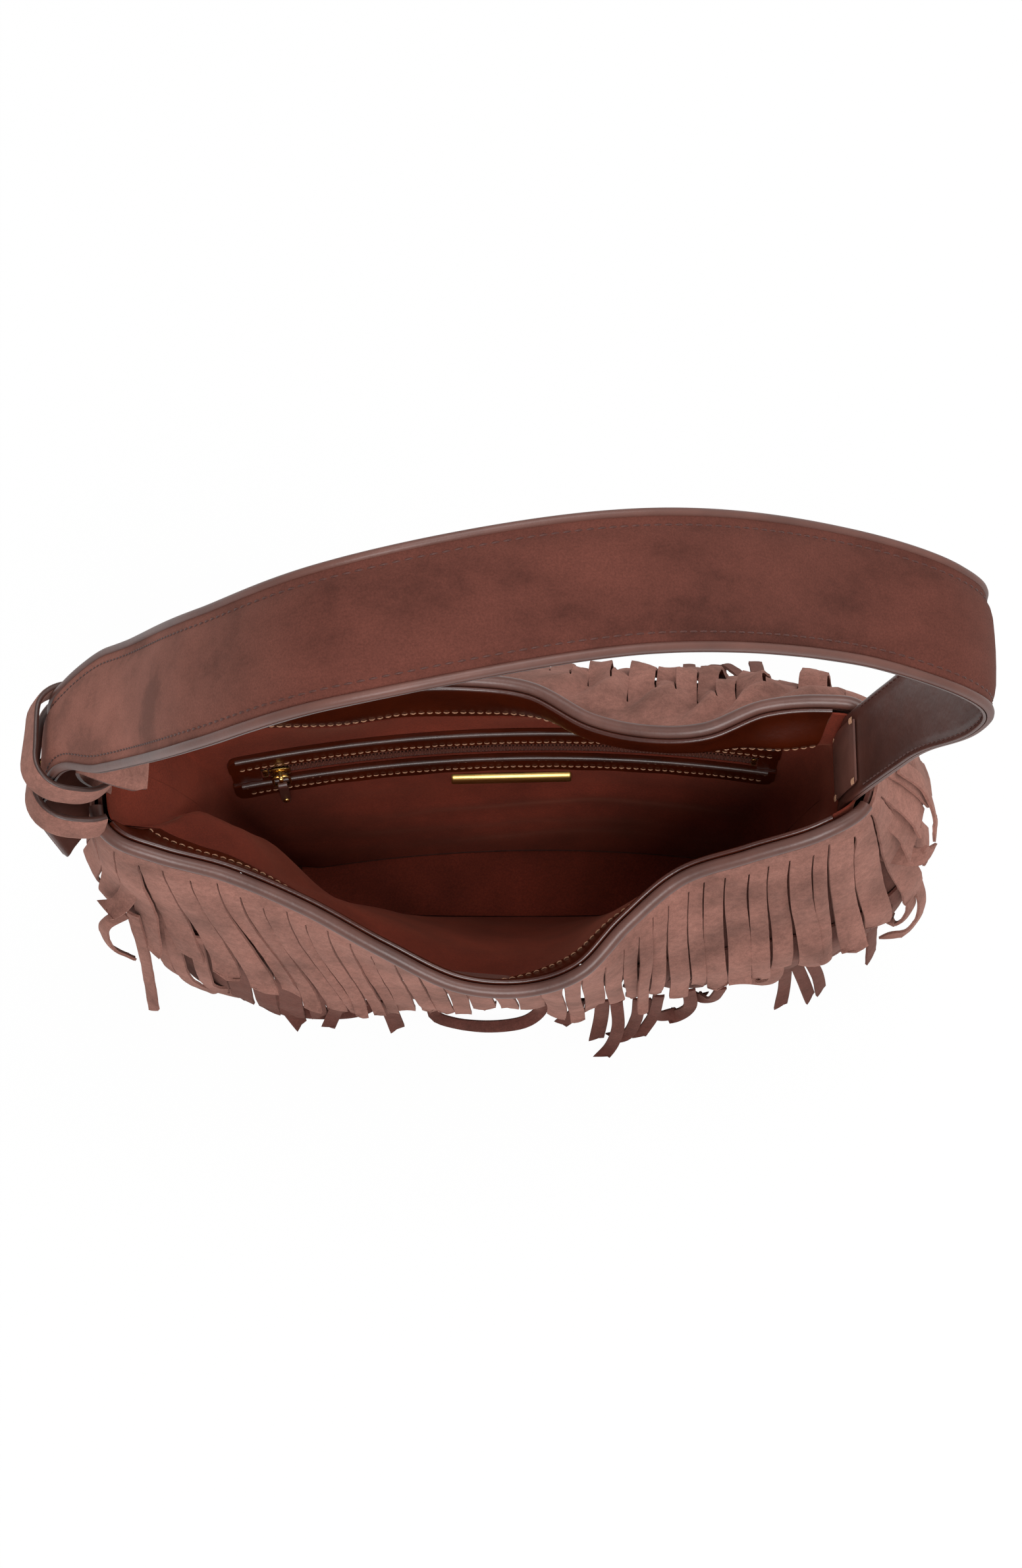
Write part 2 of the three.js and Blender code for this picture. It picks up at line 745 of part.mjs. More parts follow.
// Turns an outline drawn across the zip, [up the wall, off the wall], into a bar along the zip.
function alongZip(shape, length) {
  const bar = new THREE.ExtrudeGeometry(shape, { depth: length, bevelEnabled: false, curveSegments: 8 });
  bar.translate(0, 0, -length / 2);
  bar.rotateX(Math.PI / 2);
  bar.rotateZ(Math.PI / 2);
  return bar;
}

const SLIDER_X = ZIP_LEFT + STOP_LENGTH + SEAM + SLIDER_LENGTH / 2;
const SLIDER_NEAR = COIL_FAR + SEAM;
const SLIDER_BACK = TAPE_FAR - SEAM;
const sliderFrame = wallFrame(wallAngle(SLIDER_X), ZIP_HEIGHT);

// Front plate, post between the coils and back plate, with the bridge that carries the pull.
function slider() {
  const half = SLIDER_HEIGHT / 2;
  const post = SLIDER_POST / 2;
  const front = SLIDER_NEAR + SLIDER_PLATE;
  const back = SLIDER_BACK - SLIDER_PLATE;
  const outline = [
    [-half, SLIDER_NEAR], [-post, SLIDER_NEAR], [-post, SLIDER_BACK], [-half, SLIDER_BACK],
    [-half, back], [half, back], [half, SLIDER_BACK], [post, SLIDER_BACK],
    [post, SLIDER_NEAR], [half, SLIDER_NEAR], [half, front], [-half, front],
  ];
  const body = alongZip(new THREE.Shape(outline.map(([y, z]) => new THREE.Vector2(y, z))), SLIDER_LENGTH);
  const span = BRIDGE_SPAN / 2;
  const inside = span - BRIDGE_WALL;
  const top = front + BRIDGE_HEIGHT;
  const foot = front - SLIDER_PLATE / 2;
  const arch = [
    [-span, foot], [-inside, foot], [-inside, top - BRIDGE_WALL], [inside, top - BRIDGE_WALL],
    [inside, foot], [span, foot], [span, top], [-span, top],
  ];
  const bridge = alongZip(new THREE.Shape(arch.map(([y, z]) => new THREE.Vector2(y, z))), BRIDGE_WALL * 2);
  return fromManifold(toManifold(body).add(toManifold(bridge)));
}

add("zip_slider", slider(), GOLD, sliderFrame);

// End stops, clamped over both coils
for (const [name, x] of [["left", ZIP_LEFT + STOP_LENGTH / 2], ["right", ZIP_RIGHT - STOP_LENGTH / 2]]) {
  const half = STOP_LENGTH / 2;
  const reach = COIL_SPLIT / 2 + COIL_HEIGHT;
  const near = COIL_FAR + SEAM;
  const far = near + STOP_THICKNESS;
  const stop = wallBand(x - half, x + half, ZIP_HEIGHT - reach, ZIP_HEIGHT + reach, near, far, 1);
  add(`zip_stop_${name}`, stop, GOLD);
}

// Wire ring through the bridge, hanging down the wall, with the leather pull round its lower side
const RING_LIFT = SLIDER_NEAR + SLIDER_PLATE + (BRIDGE_HEIGHT - BRIDGE_WALL) / 2;

function roundedPath(width, height, radius) {
  const right = width / 2 - radius;
  const top = height / 2 - radius;
  const path = new THREE.Path();
  path.absarc(right, top, radius, 0, Math.PI / 2);
  path.absarc(-right, top, radius, Math.PI / 2, Math.PI);
  path.absarc(-right, -top, radius, Math.PI, 1.5 * Math.PI);
  path.absarc(right, -top, radius, 1.5 * Math.PI, 2 * Math.PI);
  path.closePath();
  return path;
}

function pullRing() {
  const steps = 24;
  const sides = 6;
  const radius = PULL_WIRE / 2;
  const path = roundedPath(PULL_RING_WIDTH - PULL_WIRE, PULL_RING_HEIGHT - PULL_WIRE, PULL_RING_CORNER);
  const middles = path.getSpacedPoints(steps).slice(0, steps);
  const drop = -(PULL_RING_HEIGHT - PULL_WIRE) / 2;
  const sections = middles.map((middle, k) => {
    const before = middles[(k + steps - 1) % steps];
    const after = middles[(k + 1) % steps];
    const along = after.clone().sub(before).normalize();
    const section = [];
    for (let m = 0; m < sides; m += 1) {
      const angle = (2 * Math.PI * m) / sides;
      const out = radius * Math.cos(angle);
      section.push(new THREE.Vector3(
        middle.x + along.y * out,
        middle.y - along.x * out + drop,
        RING_LIFT + radius * Math.sin(angle),
      ));
    }
    return section;
  });
  return loft(sections, true);
}

add("zip_pull_ring", pullRing(), GOLD, sliderFrame);

const RING_FOOT = -(PULL_RING_HEIGHT - PULL_WIRE);
const EYE_RADIUS = PULL_WIRE / 2 + EYE_CLEARANCE;

// Strip folded round the ring: an eye with two layers hanging from it.
function pullTab() {
  const outside = EYE_RADIUS + PULL_TAB_THICKNESS / 2;
  const half = PULL_TAB_THICKNESS / 2;
  const shape = new THREE.Shape();
  shape.moveTo(half, 0);
  shape.absarc(0, 0, outside, -0.2, Math.PI + 0.2, false);
  shape.lineTo(-half, -2 * outside);
  shape.lineTo(-half, -PULL_TAB_LENGTH);
  shape.lineTo(half, -PULL_TAB_LENGTH);
  shape.lineTo(half, -2 * outside);
  const eye = new THREE.Path();
  eye.absarc(0, 0, EYE_RADIUS, 0, 2 * Math.PI, true);
  shape.holes.push(eye);
  const depth = PULL_TAB_WIDTH;
  const tab = new THREE.ExtrudeGeometry(shape, { depth, bevelEnabled: false, curveSegments: 10 });
  tab.translate(0, 0, -PULL_TAB_WIDTH / 2);
  tab.rotateY(-Math.PI / 2);
  tab.translate(0, RING_FOOT, RING_LIFT);
  return tab;
}

add("zip_pull_tab", pullTab(), SUEDE_DARK, sliderFrame);

const rivet = new THREE.CylinderGeometry(RIVET_RADIUS * 0.7, RIVET_RADIUS, RIVET_HEIGHT, 12);
rivet.rotateX(Math.PI / 2);
rivet.translate(
  0,
  RING_FOOT - PULL_TAB_LENGTH + RIVET_RADIUS * 1.6,
  RING_LIFT + PULL_TAB_THICKNESS / 2 + SEAM / 3 + RIVET_HEIGHT / 2,
);
add("zip_pull_rivet", rivet, GOLD, sliderFrame);

// Bare bar under the zip, with rounded long edges
function bar() {
  const half = BAR_HEIGHT / 2;
  const shape = new THREE.Shape();
  shape.moveTo(-half, 0);
  shape.lineTo(half, 0);
  shape.lineTo(half, BAR_THICKNESS * 0.45);
  shape.quadraticCurveTo(half * 0.96, BAR_THICKNESS, half * 0.6, BAR_THICKNESS);
  shape.lineTo(-half * 0.6, BAR_THICKNESS);
  shape.quadraticCurveTo(-half * 0.96, BAR_THICKNESS, -half, BAR_THICKNESS * 0.45);
  return alongZip(shape, BAR_LENGTH);
}

const BAR_SAGITTA = BAR_LENGTH ** 2 / (8 * WALL_RADIUS);
const barMesh = add("metal_bar", bar(), GOLD, wallFrame(wallAngle(0), ZIP_HEIGHT - BAR_BELOW_ZIP));
barMesh.position.z = SEAM + BAR_SAGITTA;

// Strap

const LEFT_END = MOUTH_SHIFT - MOUTH_LENGTH / 2;
const RIGHT_END = MOUTH_SHIFT + MOUTH_LENGTH / 2;
const STRAP_THICKNESS = STRAP_LINING + SEAM + STRAP_EDGE;
const TAIL_X = LEFT_END - STRAP_STANDOFF - STRAP_THICKNESS;
const ANCHOR_X = RIGHT_END - PANEL_THICKNESS - STRAP_THICKNESS - 1.5;

function strapPath() {
  const points = [
    new THREE.Vector3(TAIL_X - 4, -9, MOUTH_HEIGHT - STRAP_TAIL_DROP),
    new THREE.Vector3(TAIL_X - 0.5, -4, MOUTH_HEIGHT - STRAP_TAIL_DROP / 3),
    new THREE.Vector3(TAIL_X + 2.5, -0.5, MOUTH_HEIGHT + 8),
    new THREE.Vector3(TAIL_X + 8, 1.5, MOUTH_HEIGHT + 25),
  ];
  for (const [along, lean, rise] of STRAP_ARCH) {
    const x = MOUTH_SHIFT + (along * MOUTH_LENGTH) / 2;
    points.push(new THREE.Vector3(x, lean, MOUTH_HEIGHT + rise * STRAP_RISE));
  }
  points.push(new THREE.Vector3(ANCHOR_X + 3.5, 0, MOUTH_HEIGHT + 12));
  points.push(new THREE.Vector3(ANCHOR_X, 0, MOUTH_HEIGHT - 8));
  points.push(new THREE.Vector3(ANCHOR_X - 1, 0, MOUTH_HEIGHT - STRAP_ANCHOR_DEPTH));
  return new THREE.CatmullRomCurve3(points, false, "centripetal");
}

const STRAP_PATH = strapPath();
const STRAP_LENGTH = STRAP_PATH.getLength();

// Middle of the strap, its direction across and its direction out, at a distance from the tail.
function strapAt(distance) {
  const share = THREE.MathUtils.clamp(distance / STRAP_LENGTH, 0, 1);
  const middle = STRAP_PATH.getPointAt(share);
  const along = STRAP_PATH.getTangentAt(share);
  const across = new THREE.Vector3(0, 1, 0).addScaledVector(along, -along.y).normalize();
  const out = new THREE.Vector3().crossVectors(along, across);
  const fromEnd = Math.min(distance, STRAP_LENGTH - distance);
  const half = mix(STRAP_END_WIDTH, STRAP_WIDTH, smooth(STRAP_TAPER_FROM, STRAP_TAPER_TO, fromEnd)) / 2;
  return { middle, along, across, out, half };
}

// Distances of the strap's sections, closer together in the bends.
const STRAP_STEPS = 38;
const strapStops = Array.from({ length: STRAP_STEPS + 1 }, (unused, k) => (k / STRAP_STEPS) * STRAP_LENGTH);

// A layer of the strap. The profile is [share of the half width, distance in from the edge, height].
function strapLayer(profile, from = 0, to = STRAP_LENGTH) {
  const stops = strapStops.filter((stop) => stop > from + 2 && stop < to - 2);
  const sections = [from, ...stops, to].map((stop) => {
    const { middle, across, out, half } = strapAt(stop);
    return profile.map(([side, inset, height]) => {
      const point = middle.clone().addScaledVector(across, side * (half - inset));
      return point.addScaledVector(out, height);
    });
  });
  return loft(sections);
}

const LINING_BACK = -STRAP_THICKNESS / 2;
const LINING_FRONT = LINING_BACK + STRAP_LINING;
const SKIN_BOTTOM = LINING_FRONT + SEAM;
const SKIN_EDGE = SKIN_BOTTOM + STRAP_EDGE - STRAP_CROWN;
const SKIN_TOP = SKIN_EDGE + STRAP_CROWN;
const FLANGE = 4;
const CORE_BOTTOM = SKIN_BOTTOM + SEAM;
const CORE_TOP = SKIN_TOP - STRAP_SKIN - 3 * SEAM;

const strapLining = strapLayer([
  [-1, 0, LINING_BACK], [1, 0, LINING_BACK],
  [1, 0, LINING_FRONT], [0, 0, LINING_FRONT], [-1, 0, LINING_FRONT],
]);
const strapCore = strapLayer([
  [-1, FLANGE + 2, CORE_BOTTOM], [0, 0, CORE_BOTTOM], [1, FLANGE + 2, CORE_BOTTOM],
  [0.45, FLANGE, CORE_TOP], [-0.45, FLANGE, CORE_TOP],
], CORE_END, STRAP_LENGTH - CORE_END);
const strapSkin = strapLayer([
  [-1, 0, SKIN_BOTTOM], [-1, FLANGE, SKIN_BOTTOM],
  [-0.55, FLANGE, SKIN_TOP - STRAP_SKIN], [0.55, FLANGE, SKIN_TOP - STRAP_SKIN],
  [1, FLANGE, SKIN_BOTTOM], [1, 0, SKIN_BOTTOM], [1, 0, SKIN_EDGE],
  [0.6, 0, SKIN_TOP], [-0.6, 0, SKIN_TOP], [-1, 0, SKIN_EDGE],
]);

// Stud that closes the knot, through a hole in the strap
const STUD_DISTANCE = STRAP_TAIL_DROP + STUD_RISE;
const studPlace = strapAt(STUD_DISTANCE);

function seatOnStrap(geometry) {
  const { middle, across, out } = studPlace;
  const down = new THREE.Vector3().crossVectors(across, out);
  geometry.applyMatrix4(new THREE.Matrix4().makeBasis(across, out, down));
  geometry.translate(middle.x, middle.y, middle.z);
  return geometry;
}

function stud() {
  const top = SKIN_TOP + SEAM;
  const bottom = LINING_BACK - SEAM;
  const profile = [
    [0, bottom - 1.2], [STUD_RADIUS * 0.7, bottom - 1.2], [STUD_RADIUS * 0.7, bottom], [STUD_POST, bottom],
    [STUD_POST, top], [STUD_RADIUS, top], [STUD_RADIUS * 0.9, top + 0.9], [STUD_RADIUS * 0.5, top + 1.6],
    [0, top + 1.8],
  ];
  return seatOnStrap(new THREE.LatheGeometry(profile.map(([x, y]) => new THREE.Vector2(x, y)), 14));
}

function studHole() {
  const radius = STUD_POST + STUD_CLEARANCE;
  return toManifold(seatOnStrap(new THREE.CylinderGeometry(radius, radius, 4 * STRAP_THICKNESS, 14)));
}

const hole = studHole();
add("strap_lining", fromManifold(toManifold(strapLining).subtract(hole)), EDGE_LEATHER);
add("strap_core", fromManifold(toManifold(strapCore).subtract(hole)), LINING_CLOTH);
add("strap_outer", fromManifold(toManifold(strapSkin).subtract(hole)), SUEDE);
add("strap_stud", stud(), GOLD);

// Patch over the strap's end inside the mouth
function anchorPatch() {
  const sections = [];
  const steps = 4;
  const from = STRAP_LENGTH - PATCH_HEIGHT;
  for (let k = 0; k <= steps; k += 1) {
    const { middle, across, out } = strapAt(mix(from, STRAP_LENGTH, k / steps));
    const near = LINING_BACK - SEAM;
    const section = [[-1, near], [1, near], [1, near - PATCH_THICKNESS], [-1, near - PATCH_THICKNESS]];
    sections.push(section.map(([side, height]) => {
      return middle.clone().addScaledVector(across, (side * PATCH_WIDTH) / 2).addScaledVector(out, height);
    }));
  }
  return loft(sections);
}

add("strap_anchor", anchorPatch(), EDGE_LEATHER);

// End tab: up through the upper keeper and folded into the mouth
const TAB_X = LEFT_END + PANEL_THICKNESS + TAB_INSET;
const UPPER_KEEPER_BOTTOM = MOUTH_HEIGHT + UPPER_KEEPER_RISE - KEEPER_HEIGHT / 2;
const UPPER_KEEPER_TOP = UPPER_KEEPER_BOTTOM + KEEPER_HEIGHT;
const TAB_UP_X = LEFT_END - 1.8;

function endTab() {
  const fold = UPPER_KEEPER_TOP + KEEPER_THICKNESS + SEAM * 2;
  const path = new THREE.CatmullRomCurve3([
    new THREE.Vector3(TAB_X, TAB_Y, MOUTH_HEIGHT - 20),
    new THREE.Vector3(TAB_X, TAB_Y, MOUTH_HEIGHT - 5),
    new THREE.Vector3(mix(TAB_X, TAB_UP_X, 0.6), TAB_Y, MOUTH_HEIGHT + 4),
    new THREE.Vector3(TAB_UP_X, TAB_Y, UPPER_KEEPER_BOTTOM - 1),
    new THREE.Vector3(TAB_UP_X, TAB_Y, UPPER_KEEPER_TOP),
    new THREE.Vector3(TAB_UP_X + 1.5, TAB_Y, fold + 1),
    new THREE.Vector3(TAB_UP_X + 6, TAB_Y, fold + 2.4),
    new THREE.Vector3(mix(TAB_UP_X, LEFT_END + TAB_REACH, 0.6), TAB_Y, fold),
    new THREE.Vector3(LEFT_END + TAB_REACH, TAB_Y, fold - 7),
  ]);
  const steps = 22;
  const sections = [];
  for (let k = 0; k <= steps; k += 1) {
    const middle = path.getPointAt(k / steps);
    const along = path.getTangentAt(k / steps);
    const out = new THREE.Vector3(-along.z, 0, along.x).multiplyScalar(TAB_THICKNESS / 2);
    const across = new THREE.Vector3(0, TAB_WIDTH / 2, 0);
    sections.push([
      middle.clone().add(across).add(out),
      middle.clone().add(across).sub(out),
      middle.clone().sub(across).sub(out),
      middle.clone().sub(across).add(out),
    ]);
  }
  return loft(sections);
}

add("end_tab", endTab(), SUEDE);

// Keepers: an upper ring round the strap and the tab, and a lower loop sewn to the mouth's end
function keeperBand(middles, closed, low) {
  const sections = middles.map((middle, k) => {
    const last = middles.length - 1;
    const before = closed ? middles[(k + last) % middles.length] : middles[Math.max(k - 1, 0)];
    const after = closed ? middles[(k + 1) % middles.length] : middles[Math.min(k + 1, last)];
    const along = after.clone().sub(before).normalize();
    const half = KEEPER_THICKNESS / 2;
    const at = (out, z) => new THREE.Vector3(middle.x + along.y * out, middle.y - along.x * out, z);
    return [at(half, low), at(half, low + KEEPER_HEIGHT), at(-half, low + KEEPER_HEIGHT), at(-half, low)];
  });
  return loft(sections, closed);
}

const KEEPER_LEFT = TAIL_X + 2.5 - STRAP_THICKNESS / 2 - KEEPER_CLEARANCE - KEEPER_THICKNESS - 1.2;
const KEEPER_RIGHT = TAB_UP_X + TAB_THICKNESS / 2 + SEAM * 2 + KEEPER_THICKNESS;

function upperKeeper() {
  const width = KEEPER_RIGHT - KEEPER_LEFT - KEEPER_THICKNESS;
  const depth = STRAP_END_WIDTH + 2 * KEEPER_CLEARANCE + KEEPER_THICKNESS;
  const steps = 28;
  const middles = roundedPath(width, depth, 5).getSpacedPoints(steps).slice(0, steps);
  for (const middle of middles) {
    middle.x += (KEEPER_LEFT + KEEPER_RIGHT) / 2;
    middle.y += 1.2;
  }
  return keeperBand(middles, true, UPPER_KEEPER_BOTTOM);
}

function lowerKeeper() {
  const reach = MOUTH_END_WIDTH / 2 + BINDING_RADIUS + KEEPER_THICKNESS / 2 - KEEPER_SEAT;
  const left = TAIL_X - STRAP_THICKNESS / 2 - KEEPER_CLEARANCE - KEEPER_THICKNESS / 2;
  const radius = 12;
  const path = new THREE.Path();
  path.moveTo(LEFT_END + KEEPER_REACH, -reach);
  path.lineTo(left + radius, -reach);
  path.absarc(left + radius, -reach + radius, radius, 1.5 * Math.PI, Math.PI, true);
  path.absarc(left + radius, reach - radius, radius, Math.PI, 0.5 * Math.PI, true);
  path.lineTo(LEFT_END + KEEPER_REACH, reach);
  const low = MOUTH_HEIGHT - LOWER_KEEPER_DROP - KEEPER_HEIGHT / 2;
  return keeperBand(path.getSpacedPoints(26), false, low);
}

add("keeper_upper", upperKeeper(), SUEDE);
add("keeper_lower", lowerKeeper(), SUEDE);

// Fringe

// A number from -1 to 1 that is fixed for each strip and use.
function scatter(strip, use) {
  const value = Math.sin(strip * 12.9898 + use * 78.233) * 43758.5453;
  return 2 * (value - Math.floor(value)) - 1;
}

// The rise at which a column of the body passes a height.
function riseAt(side, share, height) {
  const column = bodyColumn(side, share);
  let low = 0;
  let high = 1;
  for (let k = 0; k < 24; k += 1) {
    const middle = (low + high) / 2;
    if (column.getPoint(middle).z < height) low = middle;
    else high = middle;
  }
  return (low + high) / 2;
}

// A place on the body at a height, lifted off it by the tier's own lift and a depth.
function onBody(tier, share, height, depth) {
  const { side } = tier;
  const below = tier.top(share) + FRINGE_HEADER - height;
  const lift = mix(tier.headerLift, tier.lift, smooth(0, LIFT_DROP, below));
  return bodyPoint(side, share, riseAt(side, share, height), lift + depth);
}

// One strip's middle line and its direction across: down the body, then straight down, then out on the floor.
function stripLine(tier, share, strip) {
  const { side, length, rows } = tier;
  const top = tier.top(share);
  const start = onBody(tier, share, top, FRINGE_THICKNESS / 2);
  const out = ringOutward(side, RINGS[side].belly, share);
  const across = new THREE.Vector3(-out.y, out.x, 0).multiplyScalar(-side);
  const wave = STRIP_WAVE * (0.5 + 0.5 * scatter(strip, 1));
  const curl = STRIP_CURL * (0.35 + 0.65 * Math.abs(scatter(strip, 3)));
  const step = (length + 7 * scatter(strip, 2)) / rows;
  const line = [start];
  let reach = start.dot(out);
  let height = start.z;
  for (let k = 1; k <= rows; k += 1) {
    const next = Math.max(height - step, FLOOR_CLEARANCE + FRINGE_THICKNESS);
    const body = Math.max(
      onBody(tier, share, next, FRINGE_THICKNESS / 2).dot(out),
      onBody(tier, share, mix(next, height, 0.5), FRINGE_THICKNESS / 2).dot(out),
    );
    const onFloor = step - (height - next);
    const bend = (curl * (k ** 3 - (k - 1) ** 3)) / rows ** 3;
    reach = Math.max(reach - STRIP_FALL_IN * (height - next), body) + onFloor + bend + wave / rows;
    height = next;
    const point = start.clone().addScaledVector(out, reach - start.dot(out));
    point.z = height;
    line.push(point);
  }
  return { line, across, out };
}

// A comb of strips hanging from a header that follows the body.
function fringe(tier) {
  const { count, rows } = tier;
  const pitch = (tier.to - tier.from) / count;
  const slit = STRIP_SLIT / (STRIP_WIDTH + STRIP_SLIT);
  const strips = [];
  for (let strip = 0; strip < count; strip += 1) {
    strips.push(stripLine(tier, tier.from + pitch * (strip + 0.5), strip));
  }
  const halfWidth = STRIP_WIDTH / 2;
  const face = (depth) => (i, j) => {
    const strip = Math.floor(i / 2);
    const right = i % 2;
    if (j <= 1) {
      const share = tier.from + pitch * (strip + (right ? 1 - slit / 2 : slit / 2));
      const height = tier.top(share) + (1 - j) * FRINGE_HEADER;
      return onBody(tier, share, height, depth);
    }
    const { line, across, out } = strips[strip];
    const middle = line[j - 1];
    const along = line[Math.min(j, line.length - 1)].clone().sub(line[j - 2]).normalize();
    const off = new THREE.Vector3().crossVectors(across, along).normalize();
    if (off.dot(out) + off.z < 0) off.negate();
    const point = middle.clone().addScaledVector(across, (right ? 1 : -1) * halfWidth);
    return point.addScaledVector(off, depth - FRINGE_THICKNESS / 2);
  };
  const kept = (i, j) => i % 2 === 0 || j < 1;
  return sheet(2 * count - 1, rows + 1, face(FRINGE_THICKNESS), face(0), kept);
}

function fringeCount(side, from, to) {
  return Math.round((RINGS[side].mouth.getLength() * (to - from)) / (STRIP_WIDTH + STRIP_SLIT));
}

// Height of the slits' tops in each tier
function upperTop(side) {
  return (share) => RINGS[side].mouth.getPointAt(share).z - PANEL_TOP_DROP - FRINGE_HEADER - 1;
}

function lowerTop() {
  return LOWER_FRINGE_TOP - FRINGE_HEADER;
}

// Each side has an upper tier under the binding and a lower tier round the belly.
for (const [name, side] of [["front", FRONT], ["back", BACK]]) {
  const from = FRINGE_INSET;
  const to = 1 - FRINGE_INSET;
  const count = fringeCount(side, from, to);
  const shared = { side, from, to, count, rows: STRIP_ROWS };
  const upper = { ...shared, lift: UPPER_FRINGE_LIFT, length: UPPER_STRIP_LENGTH };
  upper.headerLift = UPPER_HEADER_LIFT;
  upper.top = upperTop(side);
  add(`fringe_${name}_upper`, fringe(upper), SUEDE);
  const lower = { ...shared, lift: LOWER_FRINGE_LIFT, length: LOWER_STRIP_LENGTH };
  lower.headerLift = side === FRONT ? LOWER_HEADER_LIFT_FRONT : LOWER_HEADER_LIFT_BACK;
  lower.top = lowerTop;
  add(`fringe_${name}_lower`, fringe(lower), SUEDE_DARK);
}

export default bag;
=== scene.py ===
import math

import bmesh
import bpy
import numpy as np
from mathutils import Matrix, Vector, noise


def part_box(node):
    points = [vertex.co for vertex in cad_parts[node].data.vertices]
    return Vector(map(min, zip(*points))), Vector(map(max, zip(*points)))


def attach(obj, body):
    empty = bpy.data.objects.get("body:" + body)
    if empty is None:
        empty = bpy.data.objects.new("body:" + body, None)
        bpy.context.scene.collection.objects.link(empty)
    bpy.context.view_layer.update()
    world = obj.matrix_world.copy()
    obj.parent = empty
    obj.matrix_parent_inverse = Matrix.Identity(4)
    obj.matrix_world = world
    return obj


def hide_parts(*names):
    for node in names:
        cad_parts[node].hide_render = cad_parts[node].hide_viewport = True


bl_info = {
    "name": "Fringed suede bag",
    "version": (1, 0, 0),
    "blender": (4, 5, 0),
    "location": "View3D > Sidebar > Bag",
    "description": "Builds a fringed suede hobo bag over its frame",
    "category": "Add Mesh",
}

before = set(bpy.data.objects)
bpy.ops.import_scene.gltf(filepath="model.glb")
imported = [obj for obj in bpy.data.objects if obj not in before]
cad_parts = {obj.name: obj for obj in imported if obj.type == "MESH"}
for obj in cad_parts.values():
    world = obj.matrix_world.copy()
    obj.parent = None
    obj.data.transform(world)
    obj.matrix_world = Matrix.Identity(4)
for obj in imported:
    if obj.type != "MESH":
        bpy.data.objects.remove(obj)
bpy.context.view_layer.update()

MM = 0.001
FRONT = -1
BACK = 1
SIDES = {FRONT: "front", BACK: "back"}
SEAM = 0.3 * MM

# Body of the bag: base, belly and mouth, as half rings on the front and the back
BASE_LENGTH = 250 * MM
BASE_DEPTH = {FRONT: 50 * MM, BACK: 38 * MM}
BASE_THICKNESS = 3 * MM
BASE_SQUARENESS = 3.4
FLARE_HEIGHT = 9 * MM
FLARE_SHARE = 0.16
SHOULDER = {FRONT: 0.6, BACK: 0.8}
BELLY_LENGTH = 344 * MM
BELLY_DEPTH = {FRONT: 65 * MM, BACK: 58 * MM}
BELLY_HEIGHT = 72 * MM
BELLY_SQUARENESS = 2.9
MOUTH_LENGTH = 302 * MM
MOUTH_SHIFT = -10 * MM
MOUTH_END = 22 * MM
MOUTH_HEIGHT = 178 * MM
MOUTH_BOW = {FRONT: 62 * MM, BACK: 15 * MM}
MOUTH_DIP = {FRONT: 46 * MM, BACK: 22 * MM}
PANEL_THICKNESS = 1.6 * MM
LEFT_END = MOUTH_SHIFT - MOUTH_LENGTH / 2
RIGHT_END = MOUTH_SHIFT + MOUTH_LENGTH / 2

# Mouth edge of each side: [along the mouth, bow outwards, dip]
MOUTH_EDGE = {
    FRONT: [
        (-0.83, 0.27, 0.07), (-0.67, 0.35, 0.25), (-0.47, 0.52, 0.54), (-0.27, 0.75, 0.84),
        (-0.07, 0.96, 0.99), (0.11, 0.985, 1), (0.25, 0.885, 0.87), (0.37, 0.6, 0.7),
        (0.51, 0.34, 0.48), (0.68, 0.235, 0.24), (0.86, 0.125, 0.04),
    ],
    BACK: [
        (-0.8, 0.25, 0.12), (-0.42, 0.45, 0.62), (-0.22, 1, 0.88), (-0.05, 1.1, 1),
        (0.12, 0.85, 0.97), (0.28, -0.08, 0.82), (0.43, -0.5, 0.6), (0.57, -0.52, 0.4),
        (0.72, 0, 0.19), (0.87, 0.08, 0.04),
    ],
}

# Inside of the bag
BINDING_ROOM = 3 * MM
FACING_DEPTH = 22 * MM
FACING_THICKNESS = 1.2 * MM
FACING_LOWER = 2.2 * MM
LINING_THICKNESS = 0.8 * MM
LINING_LENGTH = 205 * MM
LINING_DEPTH = 17 * MM
LINING_MIDDLE = -10 * MM
FLOOR_TOP = BASE_THICKNESS + 2 * SEAM + LINING_THICKNESS

# Zip pocket on the back wall: the zip runs on an arc about an upright axis
WALL_RADIUS = 650 * MM
WALL_SLOPE = 0.2086
WALL_TILT = math.atan(WALL_SLOPE)
ZIP_CENTRE = 15 * MM
ZIP_DEPTH = 25.1 * MM
ZIP_HEIGHT = 103.6 * MM
ZIP_LEFT = -104 * MM
ZIP_RIGHT = 103 * MM
ZIP_WINDOW = 10 * MM
WELT_LEFT = ZIP_LEFT - 13 * MM
WELT_RIGHT = ZIP_RIGHT + 9 * MM
UPPER_WELT_HEIGHT = 11.5 * MM
LOWER_WELT_HEIGHT = 13 * MM
WELT_THICKNESS = 1.2 * MM
WELT_BEAD = 1.25 * MM
TAPE_THICKNESS = 0.7 * MM
TAPE_HEIGHT = 12 * MM
TAPE_MARGIN = 5 * MM
COIL_HEIGHT = 2.3 * MM
COIL_SPLIT = 1.3 * MM
COIL_THICKNESS = 1.5 * MM
COIL_PITCH = 1.5 * MM
TAPE_NEAR = -LINING_THICKNESS - SEAM
TAPE_FAR = TAPE_NEAR - TAPE_THICKNESS
COIL_NEAR = TAPE_NEAR + SEAM
COIL_FAR = COIL_NEAR + COIL_THICKNESS
SLIDER_NEAR = COIL_FAR + SEAM
SLIDER_X = -96.8 * MM
STOP_WIDTH = 2.4 * MM
STOP_THICKNESS = 0.7 * MM
POUCH_DEPTH = 70 * MM
POUCH_THICKNESS = 2 * MM
